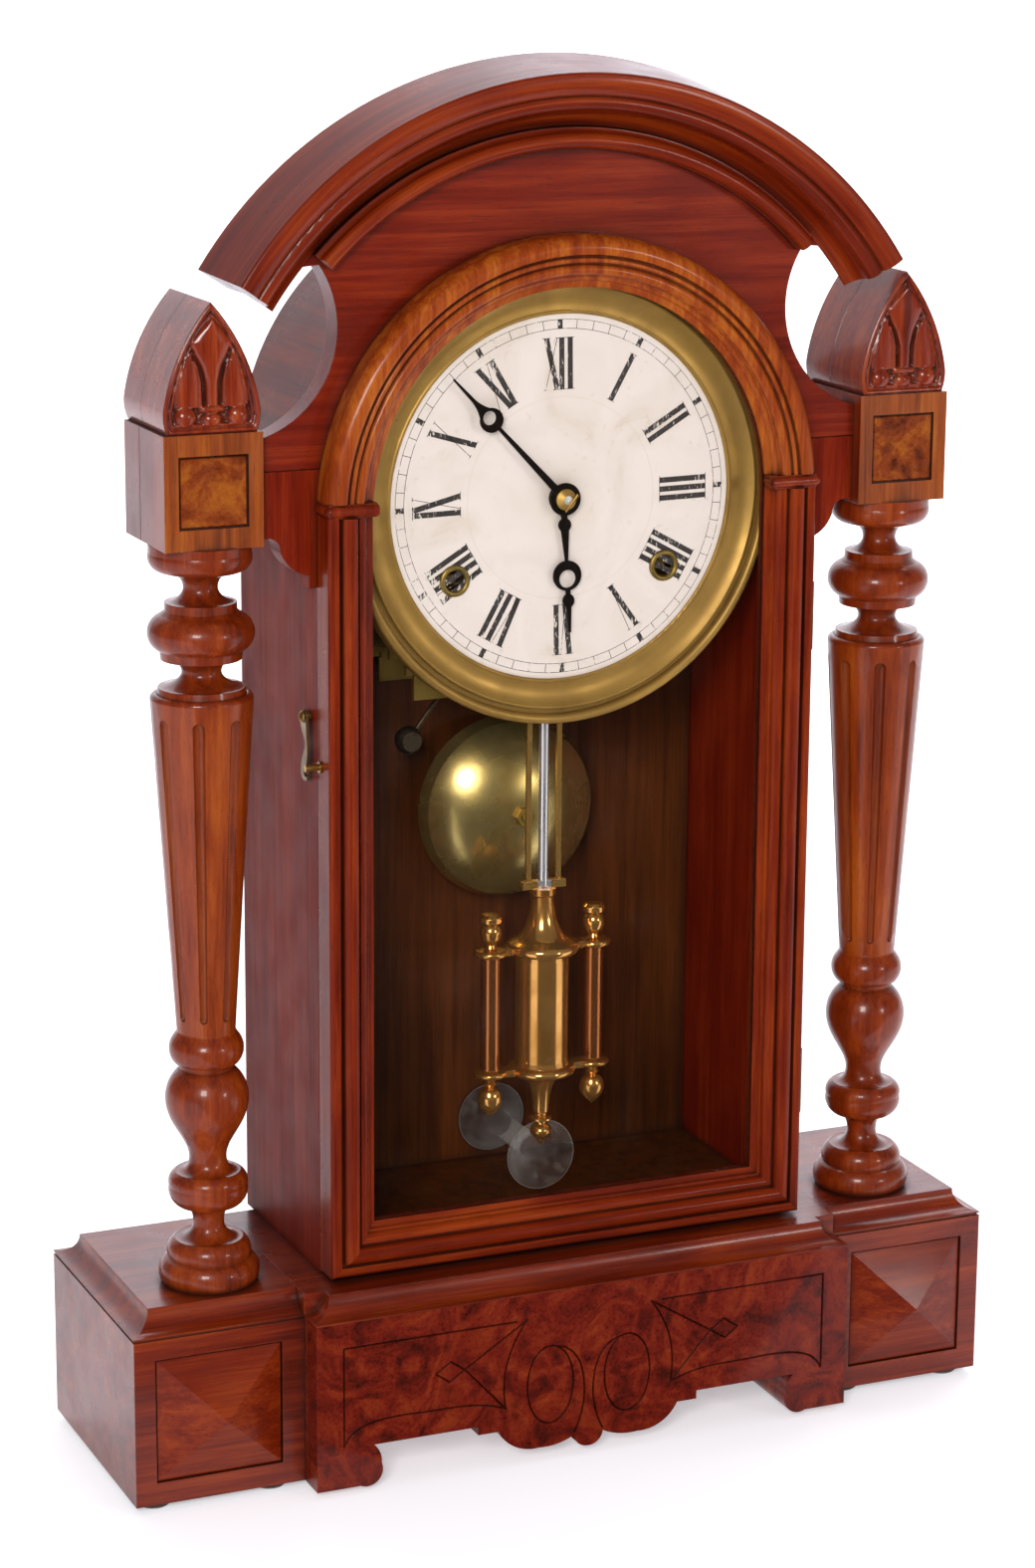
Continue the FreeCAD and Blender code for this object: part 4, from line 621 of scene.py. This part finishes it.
# ---- finials ------------------------------------------------------------------------------
# Widths and heights are in millimetres from the middle of a finial's foot.
FINIAL_LOW, FINIAL_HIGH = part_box("finial_right")
CARVE_FRONT = BLOCK_LOW.y + 0.6 * MM
RECESS = 2.2                  # depth of the carved field behind the finial's front
BOSS_X, BOSS_Z, BOSS_RADIUS = 9.0, 5.6, 3.9
SEAM_AT, SEAM_HALF, SEAM_WAIST = 0.566, 0.12, 0.988    # a groove: share of the depth, half width, waist
LEAF = ((9.5, 2.1), (17.0, 2.3), (22.0, 3.6), (26.0, 5.8), (29.5, 7.3), (33.0, 4.6), (37.6, 0.1))
PETAL_IN = ((8.6, 3.1), (17.0, 3.4), (22.0, 4.7), (25.0, 6.3), (27.5, 7.9))
PETAL_OUT = ((8.6, 12.6), (14.0, 12.3), (19.0, 10.9), (24.0, 9.2), (27.5, 7.9))


def through(a, b, c, steps):
    """Points of the circle through three points, from the first to the last."""
    a, b, c = Vector(a), Vector(b), Vector(c)
    turn = 2 * ((b - a).x * (c - a).y - (b - a).y * (c - a).x)
    u, v = (b - a).length_squared, (c - a).length_squared
    centre = a + Vector((((c - a).y * u - (b - a).y * v) / turn, ((b - a).x * v - (c - a).x * u) / turn))
    start = math.atan2(*(a - centre).yx)
    sweep = math.atan2(*(c - centre).yx) - start
    radius = (a - centre).length
    return [centre + radius * Vector((math.cos(start + sweep * i / steps),
                                      math.sin(start + sweep * i / steps))) for i in range(steps)]


def ogive():
    """The finial's outline, anticlockwise from the right end of its foot."""
    tall = (FINIAL_HIGH.z - FINIAL_LOW.z) / MM
    side = through((15.3, 0), (16.4, 3.5), (16.6, 7.5), 8)
    side += through((16.6, 7.5), (11.2, tall - 17), (0, tall), 46)
    foot = [Vector((-15.3 + 30.6 * i / 30, 0)) for i in range(1, 30)]
    return side + [Vector((0, tall))] + [Vector((-p.x, p.y)) for p in reversed(side)] + foot


def table(rows, z):
    """A width read from rows of height and width, or 0 outside them."""
    for (z0, w0), (z1, w1) in zip(rows, rows[1:]):
        if z0 <= z <= z1:
            return w0 + (w1 - w0) * (z - z0) / (z1 - z0)
    return 0.0


def dome(distance, radius):
    """The height of a round form at a distance from its middle, as a share of its radius."""
    return math.sqrt(max(0.0, 1.0 - (distance / radius) ** 2))


def carving(x, z, edge):
    """How far the carving stands out of its field at a point, in millimetres."""
    x = abs(x)
    off_boss = math.hypot(x - BOSS_X, z - BOSS_Z)
    rim = 1.0 + 1.2 * dome(edge - 0.9, 1.0) if edge < 1.9 else 0.0
    bead = 1.6 * dome(edge - 2.7, 0.75)
    boss = 0.2 + 3.3 * dome(off_boss, BOSS_RADIUS) if off_boss < BOSS_RADIUS else 0.0
    bud = 3.0 * dome(math.hypot(x / 3.7, (z - 4.6) / 2.9), 1.0)
    bar = 3.1 * dome(z - 8.2, 1.5) * dome(x ** 2, 4.8 ** 2)
    heights = [rim, bead, boss, bud, bar]
    leaf = table(LEAF, z)
    if x < leaf:
        heights.append(0.9 + 2.4 * dome(x, leaf))
    inner, outer = table(PETAL_IN, z), table(PETAL_OUT, z)
    if inner < x < outer:
        share = abs(2 * (x - inner) / (outer - inner) - 1)
        heights.append(0.4 + 1.7 * dome(share, 1.0) + 1.0 * dome(share - 0.88, 0.12))
    return max(heights)


def finial_mesh(centre_x):
    """A function that fills a bmesh with the finial standing at a place along X."""
    rim, rings = ogive(), 46
    heart = Vector((0, 16.0))
    back = (FINIAL_HIGH.y - FINIAL_LOW.y) / MM
    seam = SEAM_AT * back

    def at(point, depth):
        return (centre_x + point.x * MM, CARVE_FRONT + depth * MM, FINIAL_LOW.z + point.y * MM)

    def build(work):
        loops = []
        for k in range(rings):
            share = (k + 0.35) / (rings - 0.65)
            points = [heart + (p - heart) * share for p in rim]
            edges = [min((q - p).length for q in rim) for p in points]
            loops.append([work.verts.new(at(p, RECESS - carving(p.x, p.y, e)))
                          for p, e in zip(points, edges)])
        for depth, scale in ((0.5, 1.0), (seam - SEAM_HALF, 1.0), (seam, SEAM_WAIST),
                             (seam + SEAM_HALF, 1.0), (back, 1.0)):
            loops.append([work.verts.new(at(heart + (p - heart) * scale, depth)) for p in rim])
        count = len(rim)
        for k, (inside, outside) in enumerate(zip(loops, loops[1:])):
            for i in range(count):
                j = (i + 1) % count
                face = work.faces.new((inside[i], outside[i], outside[j], inside[j]))
                face.smooth = k < rings - 1
        work.faces.new(loops[0])
        work.faces.new(list(reversed(loops[-1])))
        bmesh.ops.recalc_face_normals(work, faces=work.faces)

    return build


carved = wood("walnut_carved", "4e1203", "742207", "8e3a0e", "z", gloss=0.24, coat=0.25, shine=0.3)
for side in ("left", "right"):
    left_end, right_end = [corner.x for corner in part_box("finial_" + side)]
    middle = (left_end + right_end) / 2
    finial = piece("finial_carved_" + side, finial_mesh(middle), carved, "case")
    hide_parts("finial_" + side)

piece("hand_pin", hand_pin, brass("brass_pin", "c8a04c", "a8843c", "4a3416", 0.3),
      "minute_hand_body")


# ---- stage --------------------------------------------------------------------------------
DARK_RIGHT, DARK_LEFT = 0.86, 0.9    # how far the wedge in front opens to each side, per metre ahead
BACKDROP_GLOW = 0.40
FLOOR_FRONT, FLOOR_BACK, BACKDROP_HALF = -4.0, 2.2, 5.0
BEND_RADIUS, WALL_TOP = 1.2, 4.5


def backdrop():
    """A pale floor and wall; a wedge of floor in front of the clock is dark in polished faces."""
    tree = Tree("studio_white")
    place = tree.add("TexCoord", {}, "Object")
    grain = tree.noise(place, 3.0, 2.0)
    colour = tree.ramp(grain, (0.3, rgb("f1f0f5")), (0.7, rgb("f6f6fa")))
    spot = tree.add("NewGeometry", {}, "Position")
    x = tree.add("SeparateXYZ", {0: spot}, 0)
    ahead = tree.math("MULTIPLY", tree.add("SeparateXYZ", {0: spot}, 1), -1.0)
    before = tree.math("MULTIPLY", tree.math("LESS_THAN", x, tree.math("MULTIPLY", ahead, DARK_RIGHT)),
                       tree.math("GREATER_THAN", x, tree.math("MULTIPLY", ahead, -DARK_LEFT)))
    mirrored = tree.math("MULTIPLY", before, tree.add("LightPath", {}, "Is Glossy Ray"))
    plain_floor = tree.add("BsdfDiffuse", {"Color": colour})
    glow = tree.add("Emission", {"Color": (0.95, 0.96, 1.0, 1.0), "Strength": BACKDROP_GLOW})
    lit = tree.add("AddShader", {0: plain_floor, 1: glow})
    dim = tree.add("BsdfDiffuse", {"Color": (0.05, 0.05, 0.05, 1.0)})
    tree.add_output(tree.add("MixShader", {0: mirrored, 1: lit, 2: dim}))
    mesh = bpy.data.meshes.new("backdrop")
    profile = [(FLOOR_FRONT, 0.0), (FLOOR_BACK, 0.0)]
    profile += [(FLOOR_BACK + BEND_RADIUS * math.sin(a), BEND_RADIUS - BEND_RADIUS * math.cos(a))
                for a in [math.radians(10 * i) for i in range(1, 10)]]
    profile += [(FLOOR_BACK + BEND_RADIUS, WALL_TOP)]
    points = [(x, y, z) for y, z in profile for x in (-BACKDROP_HALF, BACKDROP_HALF)]
    faces = [(2 * i, 2 * i + 1, 2 * i + 3, 2 * i + 2) for i in range(len(profile) - 1)]
    mesh.from_pydata(points, [], faces)
    mesh.materials.append(tree.material)
    result = bpy.data.objects.new("backdrop", mesh)
    result.rotation_euler.z = CAMERA_TURN[2]
    bpy.context.scene.collection.objects.link(result)


def softbox(name, at, aim, size, power, colour):
    """A square area light at a point, turned to face another."""
    data = bpy.data.lights.new(name, "AREA")
    data.energy = power
    data.size = size
    data.color = colour
    lamp = bpy.data.objects.new(name, data)
    lamp.location = at
    lamp.rotation_euler = (Vector(aim) - Vector(at)).to_track_quat("-Z", "Y").to_euler()
    bpy.context.scene.collection.objects.link(lamp)


def surround(seen, lit, mirrored):
    """A room that looks pale, gives a dimmer even light and is darker still in polished faces."""
    world = bpy.data.worlds.new("surround")
    world.use_nodes = True
    nodes, links = world.node_tree.nodes, world.node_tree.links
    path = nodes.new("ShaderNodeLightPath")
    strength = lit
    for ray, level in (("Is Glossy Ray", mirrored), ("Is Camera Ray", seen)):
        choice = nodes.new("ShaderNodeMix")
        choice.inputs[3].default_value = level
        links.new(path.outputs[ray], choice.inputs[0])
        if isinstance(strength, float):
            choice.inputs[2].default_value = strength
        else:
            links.new(strength, choice.inputs[2])
        strength = choice.outputs[0]
    links.new(strength, nodes["Background"].inputs["Strength"])
    nodes["Background"].inputs["Color"].default_value = (0.97, 0.96, 1.0, 1.0)
    bpy.context.scene.world = world


def lights():
    """A key light above and to the left of the camera, a small one to its right, one on the backdrop."""
    surround(seen=0.95, lit=0.42, mirrored=0.18)
    softbox("key", at=(-0.95, -1.55, 0.95), aim=(0, 0, 0.25), size=0.5, power=25.0,
            colour=(1.0, 0.96, 0.92))
    softbox("side", at=(0.85, -1.5, 0.55), aim=(0, 0, 0.2), size=0.22, power=4.0,
            colour=(1.0, 0.97, 0.94))
    softbox("backlight", at=(0.9, 1.3, 2.6), aim=(1.6, 3.0, 0.2), size=2.0, power=90.0,
            colour=(0.97, 0.97, 1.0))


def camera():
    """The camera, in front of the clock, to its left and a little above."""
    data = bpy.data.cameras.new("camera")
    data.lens = CAMERA_LENS
    data.sensor_width = 36.0
    result = bpy.data.objects.new("camera", data)
    result.location = CAMERA_AT
    result.rotation_euler = CAMERA_TURN
    bpy.context.scene.collection.objects.link(result)
    bpy.context.scene.camera = result


bpy.context.scene.view_settings.view_transform = "Standard"
bpy.context.scene.cycles.transparent_max_bounces = 24    # the pane and both dishes of the clear cup
backdrop()
lights()
camera()
